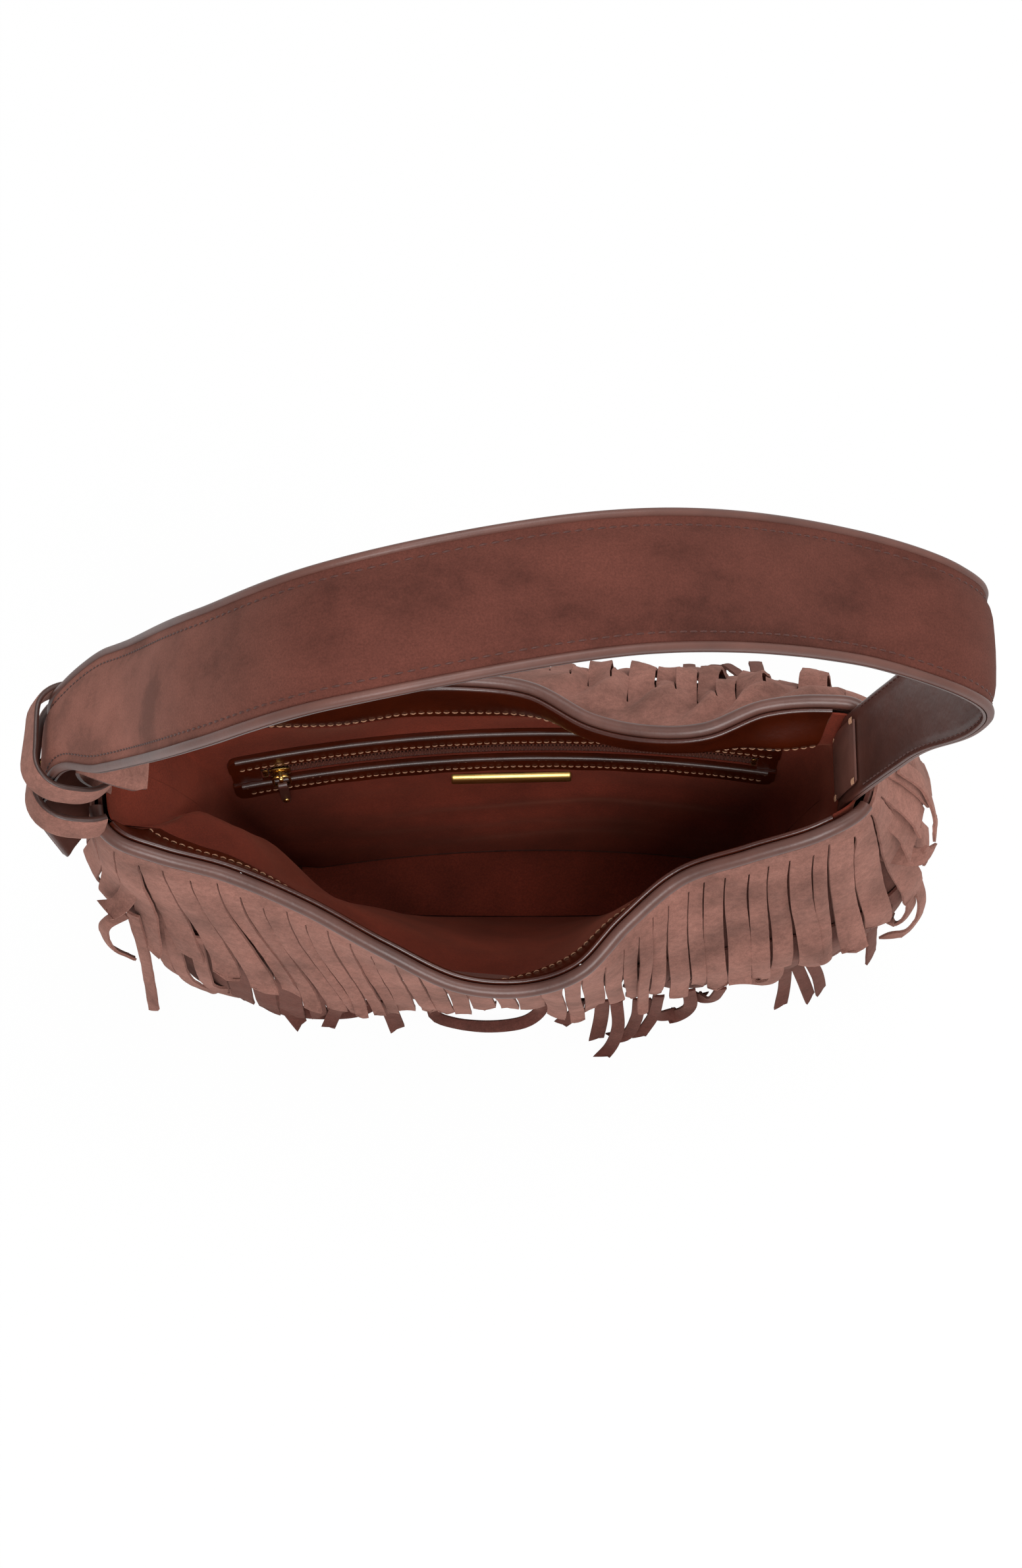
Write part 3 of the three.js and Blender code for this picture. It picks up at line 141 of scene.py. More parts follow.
WALL_TOP = ZIP_HEIGHT + ZIP_WINDOW / 2 + UPPER_WELT_HEIGHT + 3 * MM
WALL_ENDS = (0.11, 0.93)
WALL_EASE = 0.75

# Strap: centre line over the mouth, [along the mouth, lean to the back, share of its rise]
STRAP_RISE = 237 * MM
STRAP_ARCH = [
    (-1.02, 0.5, 0.19), (-0.815, -10, 0.439), (-0.58, -27, 0.789), (-0.28, -28, 0.985),
    (0.32, -7, 0.93), (0.8, 5, 0.726), (1.05, 1, 0.63), (1.13, 0, 0.535), (1.055, 0, 0.304),
]
STRAP_END_WIDTH = 34 * MM
STRAP_TAPER = (78 * MM, 135 * MM)
PATCH_LENGTH = 30 * MM
PATCH_HALF = 13 * MM
STRAP_LINING = 1.2 * MM
STRAP_EDGE = 4 * MM
STRAP_THICKNESS = STRAP_LINING + SEAM + STRAP_EDGE
STRAP_TAIL_DROP = 43 * MM
TAIL_TWIST = math.radians(34)
TAIL_X = LEFT_END - 10.5 * MM - STRAP_THICKNESS
ANCHOR_X = RIGHT_END - PANEL_THICKNESS - STRAP_THICKNESS - 1.5 * MM
STUD_DISTANCE = STRAP_TAIL_DROP + 5 * MM

# Knot at the left end
KEEPER_HEIGHT = 10.5 * MM
KEEPER_THICKNESS = 2 * MM
TAB_THICKNESS = 1.4 * MM
TAB_HALF = 14.5 * MM
TAB_Y = 0.5 * MM
TAB_X = LEFT_END + PANEL_THICKNESS + 3.6 * MM
TAB_UP_X = LEFT_END - 1.8 * MM
UPPER_KEEPER_BOTTOM = MOUTH_HEIGHT + 20.5 * MM - KEEPER_HEIGHT / 2
UPPER_KEEPER_TOP = UPPER_KEEPER_BOTTOM + KEEPER_HEIGHT

# Fringe
FRINGE_THICKNESS = 1.2 * MM
FLOOR_LEVEL = 1.3 * MM
FRINGE_INSET = 0.012
LOWER_TIER_TOP = 94 * MM
STRAND_FLOOR = 0.5 * MM


# Sizes and colours that a user changes


class BagSizes(bpy.types.PropertyGroup):
    strap_width: bpy.props.FloatProperty(
        name="Strap width", description="Width of the shoulder strap",
        default=0.045, min=0.03, max=0.06, unit="LENGTH")
    binding_radius: bpy.props.FloatProperty(
        name="Binding radius", description="Radius of the leather rolled over the mouth's edge",
        default=0.0027, min=0.002, max=0.004, unit="LENGTH")
    strand_width: bpy.props.FloatProperty(
        name="Strand width", description="Width of one strand of the fringe",
        default=0.0088, min=0.004, max=0.012, unit="LENGTH")
    strand_slit: bpy.props.FloatProperty(
        name="Slit", description="Gap between two strands where they start",
        default=0.0007, min=0.0003, max=0.002, unit="LENGTH")
    upper_length: bpy.props.FloatProperty(
        name="Upper strands", description="Length of the strands under the binding",
        default=0.1, min=0.05, max=0.12, unit="LENGTH")
    lower_length: bpy.props.FloatProperty(
        name="Lower strands", description="Length of the strands round the belly",
        default=0.1, min=0.05, max=0.12, unit="LENGTH")
    stitch_length: bpy.props.FloatProperty(
        name="Stitch", description="Length of one stitch and its gap",
        default=0.0034, min=0.002, max=0.006, unit="LENGTH")
    bar_length: bpy.props.FloatProperty(
        name="Bar", description="Length of the metal bar under the zip",
        default=0.0515, min=0.03, max=0.06, unit="LENGTH")


def colour_property(name, description, default):
    return bpy.props.FloatVectorProperty(
        name=name, description=description, default=default, size=3, min=0, max=1, subtype="COLOR_GAMMA")


class BagColours(bpy.types.PropertyGroup):
    suede: colour_property("Suede", "Fringe, strap and keepers", (0.505, 0.352, 0.315))
    # Darker copy of the suede: painted shade on the lower fringe and on the body under it.
    suede_deep: colour_property("Deep suede", "Lower fringe and body under it", (0.33, 0.195, 0.172))
    edge: colour_property("Edge leather", "Binding and the strap's edges and lining", (0.36, 0.235, 0.205))
    facing: colour_property("Facing leather", "Facing and the pocket's welts", (0.25, 0.095, 0.037))
    lining: colour_property("Lining", "Microsuede inside the bag", (0.395, 0.17, 0.125))
    tape: colour_property("Zip", "Zip tape and coil", (0.37, 0.225, 0.19))
    thread: colour_property("Light thread", "Stitches on the facing and the pocket", (0.7, 0.52, 0.41))
    dark_thread: colour_property("Dark thread", "Stitches on the suede", (0.3, 0.17, 0.145))
    gold: colour_property("Gold", "Slider, ring, bead, stud and bar", (0.88, 0.72, 0.43))


# Lines and grids


def smooth(low, high, value):
    share = min(max((value - low) / (high - low), 0.0), 1.0)
    return share * share * (3 - 2 * share)


def bump(middle, width, value):
    return math.exp(-((value - middle) / width) ** 2)


def between(start, full, fade, end, value):
    """Rises from 0 to 1, stays there, and falls back to 0."""
    return smooth(start, full, value) * (1 - smooth(fade, end, value))


def scatter(item, use):
    """A number from -1 to 1 that is fixed for each item and use."""
    value = math.sin(item * 12.9898 + use * 78.233) * 43758.5453
    return 2 * (value - math.floor(value)) - 1


def rumple(place, size, seed=0.0):
    """Smooth noise from -1 to 1 that changes over a distance in metres."""
    return noise.noise(Vector(place) / size + Vector((seed, 1.7 * seed, 0.3 * seed)))


def through(points, steps):
    """A centripetal Catmull-Rom line through points, with equal steps between each two."""
    knots = np.array(points, dtype=float)
    knots = np.vstack([2 * knots[0] - knots[1], knots, 2 * knots[-1] - knots[-2]])
    line = []
    for k in range(len(knots) - 3):
        p0, p1, p2, p3 = knots[k:k + 4]
        d0, d1, d2 = (max(np.linalg.norm(b - a), 1e-9) ** 0.5 for a, b in ((p0, p1), (p1, p2), (p2, p3)))
        t1 = ((p1 - p0) / d0 - (p2 - p0) / (d0 + d1) + (p2 - p1) / d1) * d1
        t2 = ((p2 - p1) / d1 - (p3 - p1) / (d1 + d2) + (p3 - p2) / d2) * d1
        for u in np.linspace(0, 1, steps, endpoint=False):
            line.append(
                p1 + t1 * u + (3 * (p2 - p1) - 2 * t1 - t2) * u ** 2 + (2 * (p1 - p2) + t1 + t2) * u ** 3)
    line.append(knots[-2])
    return np.array(line)


def turns(count, start=0.0):
    """Angles round a full turn, the first one a share of a step on."""
    return [2 * math.pi * (m + start) / count for m in range(count)]


def round_points(centre, first, second, count, start=0.0):
    """Points round a centre, that reach as far as two directions at a right angle."""
    return [centre + first * math.cos(a) + second * math.sin(a) for a in turns(count, start)]


class Line:
    """A curve through points, walked by its length."""

    divisions = 1500

    def __init__(self, points, steps=40):
        samples = through(points, steps)
        runs = np.linalg.norm(np.diff(samples, axis=0), axis=1)
        distances = np.concatenate([[0.0], np.cumsum(runs)])
        self.length = float(distances[-1])
        even = np.linspace(0, self.length, self.divisions + 1)
        self.table = np.column_stack([np.interp(even, distances, samples[:, k]) for k in range(3)])

    def at(self, share):
        place = min(max(share, 0.0), 1.0) * self.divisions
        left = min(int(place), self.divisions - 1)
        part = place - left
        return self.table[left] * (1 - part) + self.table[left + 1] * part

    def tangent(self, share):
        step = 0.002
        run = self.at(min(share + step, 1.0)) - self.at(max(share - step, 0.0))
        return run / np.linalg.norm(run)

    def outward(self, side, share):
        along = self.tangent(min(max(share, 0.002), 0.998))
        out = np.array([-along[1], along[0], 0.0]) * side
        return out / np.linalg.norm(out)


def half_ring(side, length, depth, squareness, height, middle=0.0):
    points = []
    for k in range(21):
        angle = math.pi * (1 - k / 20)
        across = math.cos(angle)
        x = math.copysign(length / 2 * abs(across) ** (2 / squareness), across)
        y = middle + side * depth * abs(math.sin(angle)) ** (2 / squareness)
        points.append((x, y, height))
    return Line(points)


def mouth_line(side):
    half = MOUTH_LENGTH / 2

    def place(along, out, height):
        return (MOUTH_SHIFT + along * half, side * out, height)

    corner = [(1.0, 0.0), (0.995, 0.5), (0.965, 0.94)]
    left_corner = [(1.0, 0.0), (1.0, 0.62), (0.985, 1.16), (0.94, 1.5)] if side == FRONT else corner
    points = [place(-along, out * MOUTH_END, MOUTH_HEIGHT) for along, out in left_corner]
    for along, out, lower in MOUTH_EDGE[side]:
        points.append(place(along, MOUTH_END + out * MOUTH_BOW[side], MOUTH_HEIGHT - lower * MOUTH_DIP[side]))
    points += [place(along, out * MOUTH_END, MOUTH_HEIGHT) for along, out in reversed(corner)]
    return Line(points)


RIM_DROP = 6.6 * MM
MOUTH = {side: mouth_line(side) for side in SIDES}
BELLY = {
    side: half_ring(side, BELLY_LENGTH, BELLY_DEPTH[side], BELLY_SQUARENESS, BELLY_HEIGHT) for side in SIDES}
BASE = {side: half_ring(side, BASE_LENGTH, BASE_DEPTH[side], BASE_SQUARENESS, SEAM) for side in SIDES}


class Body:
    """Outer face of one side of the bag, on a fine grid of columns from the base to the mouth."""

    columns = 240

    def __init__(self, side):
        self.side = side
        grid = []
        for k in range(self.columns + 1):
            share = k / self.columns
            base = BASE[side].at(share)
            belly = BELLY[side].at(share)
            mouth = MOUTH[side].at(share) - np.array([0, 0, RIM_DROP])
            flare = base + (belly - base) * FLARE_SHARE
            flare[2] = FLARE_HEIGHT
            shoulder = mouth + (belly - mouth) * SHOULDER[side]
            shoulder[2] = (mouth[2] + belly[2]) / 2
            grid.append(through([base, flare, belly, shoulder, mouth], 16))
        self.grid = np.array(grid)
        along = np.gradient(self.grid, axis=0)
        up = np.gradient(self.grid, axis=1)
        out = np.cross(along, up) * -side
        self.normals = out / np.maximum(np.linalg.norm(out, axis=2, keepdims=True), 1e-12)

    def read(self, table, share, height):
        place = min(max(share, 0.0), 1.0) * self.columns
        left = min(int(place), self.columns - 1)
        part = place - left
        value = np.zeros(3)
        for column, weight in ((left, 1 - part), (left + 1, part)):
            heights = self.grid[column, :, 2]
            k = min(max(int(np.searchsorted(heights, height)), 1), len(heights) - 1)
            rise = (height - heights[k - 1]) / max(heights[k] - heights[k - 1], 1e-9)
            rise = min(max(rise, 0.0), 1.0)
            value += weight * (table[column, k - 1] * (1 - rise) + table[column, k] * rise)
        return value

    def at(self, share, height, lift=0.0):
        place = self.read(self.grid, share, height)
        return place + lift * self.read(self.normals, share, height)


BODY = {side: Body(side) for side in SIDES}


class Outline:
    """The body's outline at every level, which keeps strands outside it."""

    step = 2 * MM

    def __init__(self):
        self.rings = []
        for level in range(96):
            height = level * self.step
            spots, outs = [], []
            for body in BODY.values():
                for column in range(0, body.columns + 1, 2):
                    spots.append(body.at(column / body.columns, height)[:2])
                    out = body.read(body.normals, column / body.columns, height)[:2]
                    outs.append(out / max(np.linalg.norm(out), 1e-9))
            self.rings.append((np.array(spots), np.array(outs)))

    def push(self, place, clearance):
        """Moves a place out until it clears the body, and gives the way out at that place."""
        level = min(max(int(round(place[2] / self.step)), 0), len(self.rings) - 1)
        spots, outs = self.rings[level]
        k = int(np.argmin(((spots - place[:2]) ** 2).sum(axis=1)))
        gap = float((place[:2] - spots[k]) @ outs[k])
        place = place.copy()
        if gap < clearance:
            place[:2] += outs[k] * (clearance - gap)
        return place, np.array([outs[k][0], outs[k][1], 0.0])


OUTLINE = Outline()


# Meshes


def finish_mesh(name, points, faces, materials, body="bag", picks=None, sharp=40):
    """Makes an object of points in metres, gives it its materials and lets it ride on a body."""
    mesh = bpy.data.meshes.new(name)
    mesh.from_pydata([tuple(float(v) for v in point) for point in points], [], faces)
    mesh.validate()
    for material in materials:
        mesh.materials.append(material)
    mesh.polygons.foreach_set("use_smooth", [True] * len(mesh.polygons))
    if picks is not None:
        mesh.polygons.foreach_set("material_index", picks)
    mesh.set_sharp_from_angle(angle=math.radians(sharp))
    piece = bpy.data.objects.new(name, mesh)
    bpy.context.scene.collection.objects.link(piece)
    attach(piece, body)
    return piece


class Shell:
    """Closed sheets and bars, gathered into one mesh."""

    def __init__(self):
        self.points = []
        self.faces = []
        self.picks = []

    def add(self, face, pick=0):
        self.faces.append(face)
        self.picks.append(pick)

    def sheet(self, outer, inner, kept=None, edge_pick=0, flip=False):
        """Two grids of the same size, outer and inner, joined by walls round what is kept."""
        columns, rows = outer.shape[0] - 1, outer.shape[1] - 1
        first = len(self.points)
        if kept is None:
            kept = np.ones((columns, rows), dtype=bool)
        used = np.zeros((columns + 1, rows + 1), dtype=bool)
        for di in (0, 1):
            for dj in (0, 1):
                used[di:columns + di, dj:rows + dj] |= kept
        number = -np.ones((2, columns + 1, rows + 1), dtype=int)
        count = first
        for layer, grid in enumerate((outer, inner)):
            for i, j in zip(*np.nonzero(used)):
                number[layer, i, j] = count
                self.points.append(grid[i, j])
                count += 1

        def quad(a, b, c, d, pick=0):
            self.add((d, c, b, a) if flip else (a, b, c, d), pick)

        def holds(i, j):
            return 0 <= i < columns and 0 <= j < rows and kept[i, j]

        for i, j in zip(*np.nonzero(kept)):
            top, under = number[0], number[1]
            quad(top[i, j], top[i + 1, j], top[i + 1, j + 1], top[i, j + 1])
            quad(under[i, j + 1], under[i + 1, j + 1], under[i + 1, j], under[i, j])
            walls = (
                (i, j - 1, i, j, i + 1, j), (i + 1, j, i + 1, j, i + 1, j + 1),
                (i, j + 1, i + 1, j + 1, i, j + 1), (i - 1, j, i, j + 1, i, j),
            )
            for ni, nj, a, b, c, d in walls:
                if not holds(ni, nj):
                    quad(top[c, d], top[a, b], under[a, b], under[c, d], edge_pick)
        return self

    def bar(self, sections, closed=False, picks=None):
        """Rings of points of one count, capped at both ends or joined into a loop."""
        first = len(self.points)
        count = len(sections[0])
        for section in sections:
            self.points.extend(section)
        links = len(sections) if closed else len(sections) - 1
        for k in range(links):
            here = first + k * count
            after = first + ((k + 1) % len(sections)) * count
            for m in range(count):
                n = (m + 1) % count
                self.add((here + m, here + n, after + n, after + m), picks[m] if picks else 0)
        if not closed:
            last = first + (len(sections) - 1) * count
            self.add(tuple(range(first + count - 1, first - 1, -1)))
            self.add(tuple(range(last, last + count)))
        return self

    def piece(self, name, materials, body="bag", sharp=40):
        return finish_mesh(name, self.points, self.faces, materials, body, self.picks, sharp)


def turn_out(piece):
    """Turns the faces of closed forms so that they point out."""
    work = bmesh.new()
    work.from_mesh(piece.data)
    bmesh.ops.recalc_face_normals(work, faces=work.faces)
    work.to_mesh(piece.data)
    work.free()
    return piece


def settle(shell, name, finishes, slot, *nodes, body="bag", sharp=40):
    """Makes a piece and hides the nodes of the frame that it stands for. Its slot is not used."""
    piece = turn_out(shell.piece(name, [finish(key) for key in finishes], body, sharp))
    if nodes:
        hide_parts(*nodes)
    return piece


def stitches(shell, places, outs, length, radius, gap=0.3):
    """A row of stitches along places, each a small rounded bead of thread lying on the surface."""
    runs = np.concatenate([[0.0], np.cumsum(np.linalg.norm(np.diff(places, axis=0), axis=1))])
    total = runs[-1]
    count = max(int(total / length), 1)
    for k in range(count):
        start = (k + gap / 2) * total / count
        stop = (k + 1 - gap / 2) * total / count
        ends = [np.array([np.interp(d, runs, places[:, c]) for c in range(3)]) for d in (start, stop)]
        middle = (start + stop) / 2
        out = np.array([np.interp(middle, runs, outs[:, c]) for c in range(3)])
        along = ends[1] - ends[0]
        size = np.linalg.norm(along)
        if size < 1e-7:
            continue
        along /= size
        side = np.cross(out, along)
        side /= np.linalg.norm(side)
        out = np.cross(along, side)
        sections = []
        for share, width in ((0, 0.45), (0.2, 0.95), (0.5, 1.1), (0.8, 0.95), (1, 0.45)):
            lift = radius * (0.25 + 1.0 * math.sin(math.pi * share))
            centre = ends[0] + along * size * share + out * lift
            reach = radius * width
            sections.append(round_points(centre, reach * side, 0.8 * reach * out, 6, 0.5))
        shell.bar(sections)


# Materials


def node_of(tree, kind, **values):
    node = tree.nodes.new(kind)
    for key, value in values.items():
        setattr(node, key, value)
    return node


def linear(colour, share=1.0):
    """A colour as it is seen, turned into the light that a shader takes."""
    return tuple((c * share) ** 2.2 for c in colour) + (1.0,)


def new_material(name, roughness, **sockets):
    material = bpy.data.materials.new(name)
    material.use_nodes = True
    shader = material.node_tree.nodes["Principled BSDF"]
    shader.inputs["Roughness"].default_value = roughness
    for key, value in sockets.items():
        shader.inputs[key.replace("_", " ")].default_value = value
    return material, material.node_tree, shader


def noise_texture(tree, scale, detail=4.0, roughness=0.6, stretch=(1, 1, 1)):
    place = node_of(tree, "ShaderNodeTexCoord")
    mapping = node_of(tree, "ShaderNodeMapping")
    mapping.inputs["Scale"].default_value = stretch
    texture = node_of(tree, "ShaderNodeTexNoise")
    texture.inputs["Scale"].default_value = scale
    texture.inputs["Detail"].default_value = detail
    texture.inputs["Roughness"].default_value = roughness
    tree.links.new(place.outputs["Object"], mapping.inputs["Vector"])
    tree.links.new(mapping.outputs["Vector"], texture.inputs["Vector"])
    return texture


def ramp(tree, source, stops):
    node = tree.nodes.new("ShaderNodeValToRGB")
    tree.links.new(source, node.inputs["Fac"])
    while len(node.color_ramp.elements) < len(stops):
        node.color_ramp.elements.new(0.5)
    for element, (position, colour) in zip(node.color_ramp.elements, stops):
        element.position = position
        element.color = colour
    return node


def tones(tree, texture, colour, *stops):
    """Shades of a colour that follow a texture. Stops: place, share of the colour."""
    return ramp(tree, texture.outputs["Fac"], [(place, linear(colour, share)) for place, share in stops])


def greys(tree, texture, *stops):
    """Greys that follow a texture. Stops: place, grey."""
    return ramp(tree, texture.outputs["Fac"], [(place, (grey, grey, grey, 1)) for place, grey in stops])


def blend_colours(tree, mode, factor, first, second):
    node = tree.nodes.new("ShaderNodeMix")
    node.data_type = "RGBA"
    node.blend_type = mode
    node.inputs["Factor"].default_value = factor
    tree.links.new(first, node.inputs["A"])
    tree.links.new(second, node.inputs["B"])
    return node.outputs["Result"]


def add_bumps(tree, shader, layers):
    """Bump layers, each (height source, strength, distance)."""
    last = None
    for source, strength, distance in layers:
        node = tree.nodes.new("ShaderNodeBump")
        node.inputs["Strength"].default_value = strength
        node.inputs["Distance"].default_value = distance
        tree.links.new(source, node.inputs["Height"])
        if last:
            tree.links.new(last.outputs["Normal"], node.inputs["Normal"])
        last = node
    tree.links.new(last.outputs["Normal"], shader.inputs["Normal"])


def suede(name, colour, marks=1.0, nap=1.0):
    """Brushed suede: nap marks, a soft grain and a dusty sheen."""
    material, tree, shader = new_material(
        name, 0.95, Specular_IOR_Level=0.15, Sheen_Weight=0.25, Sheen_Roughness=0.6)
    shader.inputs["Sheen Tint"].default_value = linear((0.85, 0.66, 0.6))
    brushed = noise_texture(tree, 34, 5, 0.62, (1.0, 1.5, 1.0))
    tone = tones(tree, brushed, colour, (0.33, 1 - 0.2 * marks), (0.5, 1), (0.68, 1 + 0.13 * marks))
    grain = noise_texture(tree, 1500, 3, 0.7)
    speck = greys(tree, grain, (0.3, 0.74), (0.7, 1.2))
    mixed = blend_colours(tree, "MULTIPLY", 0.75, tone.outputs["Color"], speck.outputs["Color"])
    tufts = noise_texture(tree, 420, 4, 0.7)
    shade = greys(tree, tufts, (0.36, 0.8), (0.64, 1.16))
    mixed = blend_colours(tree, "MULTIPLY", 0.8, mixed, shade.outputs["Color"])
    tree.links.new(mixed, shader.inputs["Base Color"])
    add_bumps(tree, shader, [
        (grain.outputs["Fac"], 0.35 * nap, 0.0004), (tufts.outputs["Fac"], 0.3 * nap, 0.0008)])
    return material


def strap_finish(colour):
    """Strap suede with nap marks, darker in the middle and lighter towards the left end, where the lighter
    tone is painted light and sheen.
    """
    # The strap's own tone, and a lighter tone towards the left end that is painted light and sheen.
    strap_tone = (colour[0] * 0.65, colour[1] * 0.545, colour[2] * 0.525)
    painted_light_tone = (colour[0] * 1.05, colour[1] * 0.99, colour[2] * 0.97)
    material, tree, shader = new_material(
        "Strap suede", 0.9, Specular_IOR_Level=0.12, Sheen_Weight=0.1, Sheen_Roughness=0.6)
    shader.inputs["Sheen Tint"].default_value = linear((0.8, 0.6, 0.54))
    marks = noise_texture(tree, 22, 6, 0.66, (1.0, 1.6, 1.0))
    tone = greys(tree, marks, (0.36, 0.66), (0.48, 0.98), (0.66, 1.24))
    place = node_of(tree, "ShaderNodeTexCoord")
    split = node_of(tree, "ShaderNodeSeparateXYZ")
    tree.links.new(place.outputs["Object"], split.inputs["Vector"])
    ends = node_of(tree, "ShaderNodeMapRange", interpolation_type="SMOOTHSTEP")
    ends.inputs["From Min"].default_value = -50 * MM
    ends.inputs["From Max"].default_value = -150 * MM
    tree.links.new(split.outputs["X"], ends.inputs["Value"])
    # Ramp from the strap's own tone to the painted light and sheen at the left end.
    painted_light_ramp = ramp(tree, ends.outputs["Result"], [(0, linear(strap_tone)), (1, linear(painted_light_tone))])
    painted_light_and_marks = blend_colours(tree, "MULTIPLY", 1.0, painted_light_ramp.outputs["Color"], tone.outputs["Color"])
    grain = noise_texture(tree, 1500, 3, 0.7)
    speck = greys(tree, grain, (0.3, 0.72), (0.7, 1.22))
    mixed = blend_colours(tree, "MULTIPLY", 0.8, painted_light_and_marks, speck.outputs["Color"])
    tree.links.new(mixed, shader.inputs["Base Color"])
    add_bumps(tree, shader, [(grain.outputs["Fac"], 0.35, 0.0004), (marks.outputs["Fac"], 0.25, 0.0015)])
    return material


def leather(name, colour, roughness, coat, variation=0.16, grain_scale=900):
    """Smooth leather: fine pebbled grain and a thin finish coat."""
    material, tree, shader = new_material(
        name, roughness, Specular_IOR_Level=0.5, Coat_Weight=coat, Coat_Roughness=0.28)
    clouds = noise_texture(tree, 45, 4)
    tone = tones(tree, clouds, colour, (0.3, 1 - variation), (0.7, 1 + variation * 0.7))
    tree.links.new(tone.outputs["Color"], shader.inputs["Base Color"])
    place = node_of(tree, "ShaderNodeTexCoord")
    pebbles = node_of(tree, "ShaderNodeTexVoronoi", feature="SMOOTH_F1")
    pebbles.inputs["Scale"].default_value = grain_scale
    tree.links.new(place.outputs["Object"], pebbles.inputs["Vector"])
    creases = noise_texture(tree, 160, 3, 0.5)
    add_bumps(tree, shader, [
        (pebbles.outputs["Distance"], 0.12, 0.0003), (creases.outputs["Fac"], 0.25, 0.0008)])
    return material


def microsuede(name, colour):
    """Lining cloth: a dense twill ground under a short nap."""
    material, tree, shader = new_material(
        name, 0.9, Specular_IOR_Level=0.2, Sheen_Weight=0.22, Sheen_Roughness=0.5)
    shader.inputs["Sheen Tint"].default_value = linear((0.8, 0.5, 0.4))
    clouds = noise_texture(tree, 26, 5)
    tone = tones(tree, clouds, colour, (0.32, 0.86), (0.68, 1.12))
    fibres = noise_texture(tree, 1300, 2, 0.6, (1, 1, 2.2))
    speck = ramp(tree, fibres.outputs["Fac"], [(0.35, (0.78, 0.78, 0.78, 1)), (0.7, (1.28, 1.24, 1.2, 1))])
    mixed = blend_colours(tree, "MULTIPLY", 0.85, tone.outputs["Color"], speck.outputs["Color"])
    tree.links.new(mixed, shader.inputs["Base Color"])
    add_bumps(tree, shader, [(fibres.outputs["Fac"], 0.3, 0.0003)])
    return material


def woven(name, colour):
    """Zip tape: a fine herringbone rib."""
    material, tree, shader = new_material(name, 0.75, Specular_IOR_Level=0.25, Sheen_Weight=0.1)
    place = node_of(tree, "ShaderNodeTexCoord")
    ribs = node_of(tree, "ShaderNodeTexWave", wave_type="BANDS", bands_direction="DIAGONAL")
    ribs.inputs["Scale"].default_value = 420
    ribs.inputs["Distortion"].default_value = 0.4
    tree.links.new(place.outputs["Object"], ribs.inputs["Vector"])
    tone = tones(tree, ribs, colour, (0.2, 0.8), (0.8, 1.1))
    tree.links.new(tone.outputs["Color"], shader.inputs["Base Color"])
    add_bumps(tree, shader, [(ribs.outputs["Fac"], 0.4, 0.0002)])
    return material


def coil_nylon(name, colour):
    material, tree, shader = new_material(name, 0.36, Specular_IOR_Level=0.5)
    painted_light_ramp = noise_texture(tree, 700, 3)
    tone = tones(tree, painted_light_ramp, colour, (0.3, 0.85), (0.7, 1.15))
    tree.links.new(tone.outputs["Color"], shader.inputs["Base Color"])
    add_bumps(tree, shader, [(painted_light_ramp.outputs["Fac"], 0.1, 0.0001)])
    return material


def gold_plate(name, colour, low=0.17, high=0.3):
    """Bright plated metal with faint brushing."""
    material, tree, shader = new_material(name, 0.22, Metallic=1.0)
    brushing = noise_texture(tree, 420, 3, 0.5, (0.15, 1, 6))
    tone = tones(tree, brushing, colour, (0.3, 0.93), (0.7, 1.03))
    tree.links.new(tone.outputs["Color"], shader.inputs["Base Color"])
    matte = greys(tree, brushing, (0.3, low), (0.7, high))
    tree.links.new(matte.outputs["Color"], shader.inputs["Roughness"])
    add_bumps(tree, shader, [(brushing.outputs["Fac"], 0.05, 0.0001)])
    return material


def thread(name, colour):
    material, tree, shader = new_material(name, 0.6, Specular_IOR_Level=0.35, Sheen_Weight=0.1)
    twist = noise_texture(tree, 2600, 2)
    tone = tones(tree, twist, colour, (0.3, 0.8), (0.7, 1.1))
    tree.links.new(tone.outputs["Color"], shader.inputs["Base Color"])
    add_bumps(tree, shader, [(twist.outputs["Fac"], 0.3, 0.0001)])
    return material


FINISHES = {}
COLOUR_NAMES = ("suede", "suede_deep", "edge", "facing", "lining", "tape", "thread", "dark_thread", "gold")


def finish(key):
    """A finish of the bag, made the first time that it is asked for."""
    if key in FINISHES:
        return FINISHES[key]
    group = bpy.context.scene.bag_colours
    colours = {name: tuple(getattr(group, name)) for name in COLOUR_NAMES}

    def shade(colour, share):
        return tuple(c * share for c in colour)

    makers = {
        "suede": lambda: suede("Suede", colours["suede"]),
        "strap_suede": lambda: strap_finish(colours["suede"]),
        # Darker copies of the suede and of its cut edge: painted shade for the lower fringe, the body panels
        # and the base.
        "suede_deep": lambda: suede("Deep suede", colours["suede_deep"], marks=0.7),
        "cut_edge": lambda: suede("Cut suede edge", shade(colours["suede"], 1.06), marks=0.5, nap=1.4),
        "painted_shade_edge": lambda: suede("Deep cut edge", shade(colours["suede_deep"], 1.08), marks=0.5, nap=1.4),
        "edge": lambda: leather("Edge leather", colours["edge"], 0.42, 0.12),
        "strap_inside": lambda: leather("Strap lining leather", (0.3, 0.178, 0.15), 0.42, 0.1, 0.14, 620),
        "rim": lambda: leather("Keeper rim", shade(colours["edge"], 0.72), 0.4, 0.15),
        "painted": lambda: leather("Painted edge", shade(colours["edge"], 1.02), 0.5, 0.05, 0.1, 1400),
        "facing": lambda: leather("Facing leather", colours["facing"], 0.3, 0.3),
        "lining": lambda: microsuede("Microsuede lining", colours["lining"]),
        "tape": lambda: woven("Zip tape", colours["tape"]),
        "coil": lambda: coil_nylon("Zip coil", colours["tape"]),
        "thread": lambda: thread("Light thread", colours["thread"]),
        "dark_thread": lambda: thread("Dark thread", colours["dark_thread"]),
        "gold": lambda: gold_plate("Gold", colours["gold"]),
        "bar_gold": lambda: gold_plate("Bar gold", colours["gold"], 0.3, 0.38),
    }
    FINISHES[key] = makers[key]()
    return FINISHES[key]


# Body


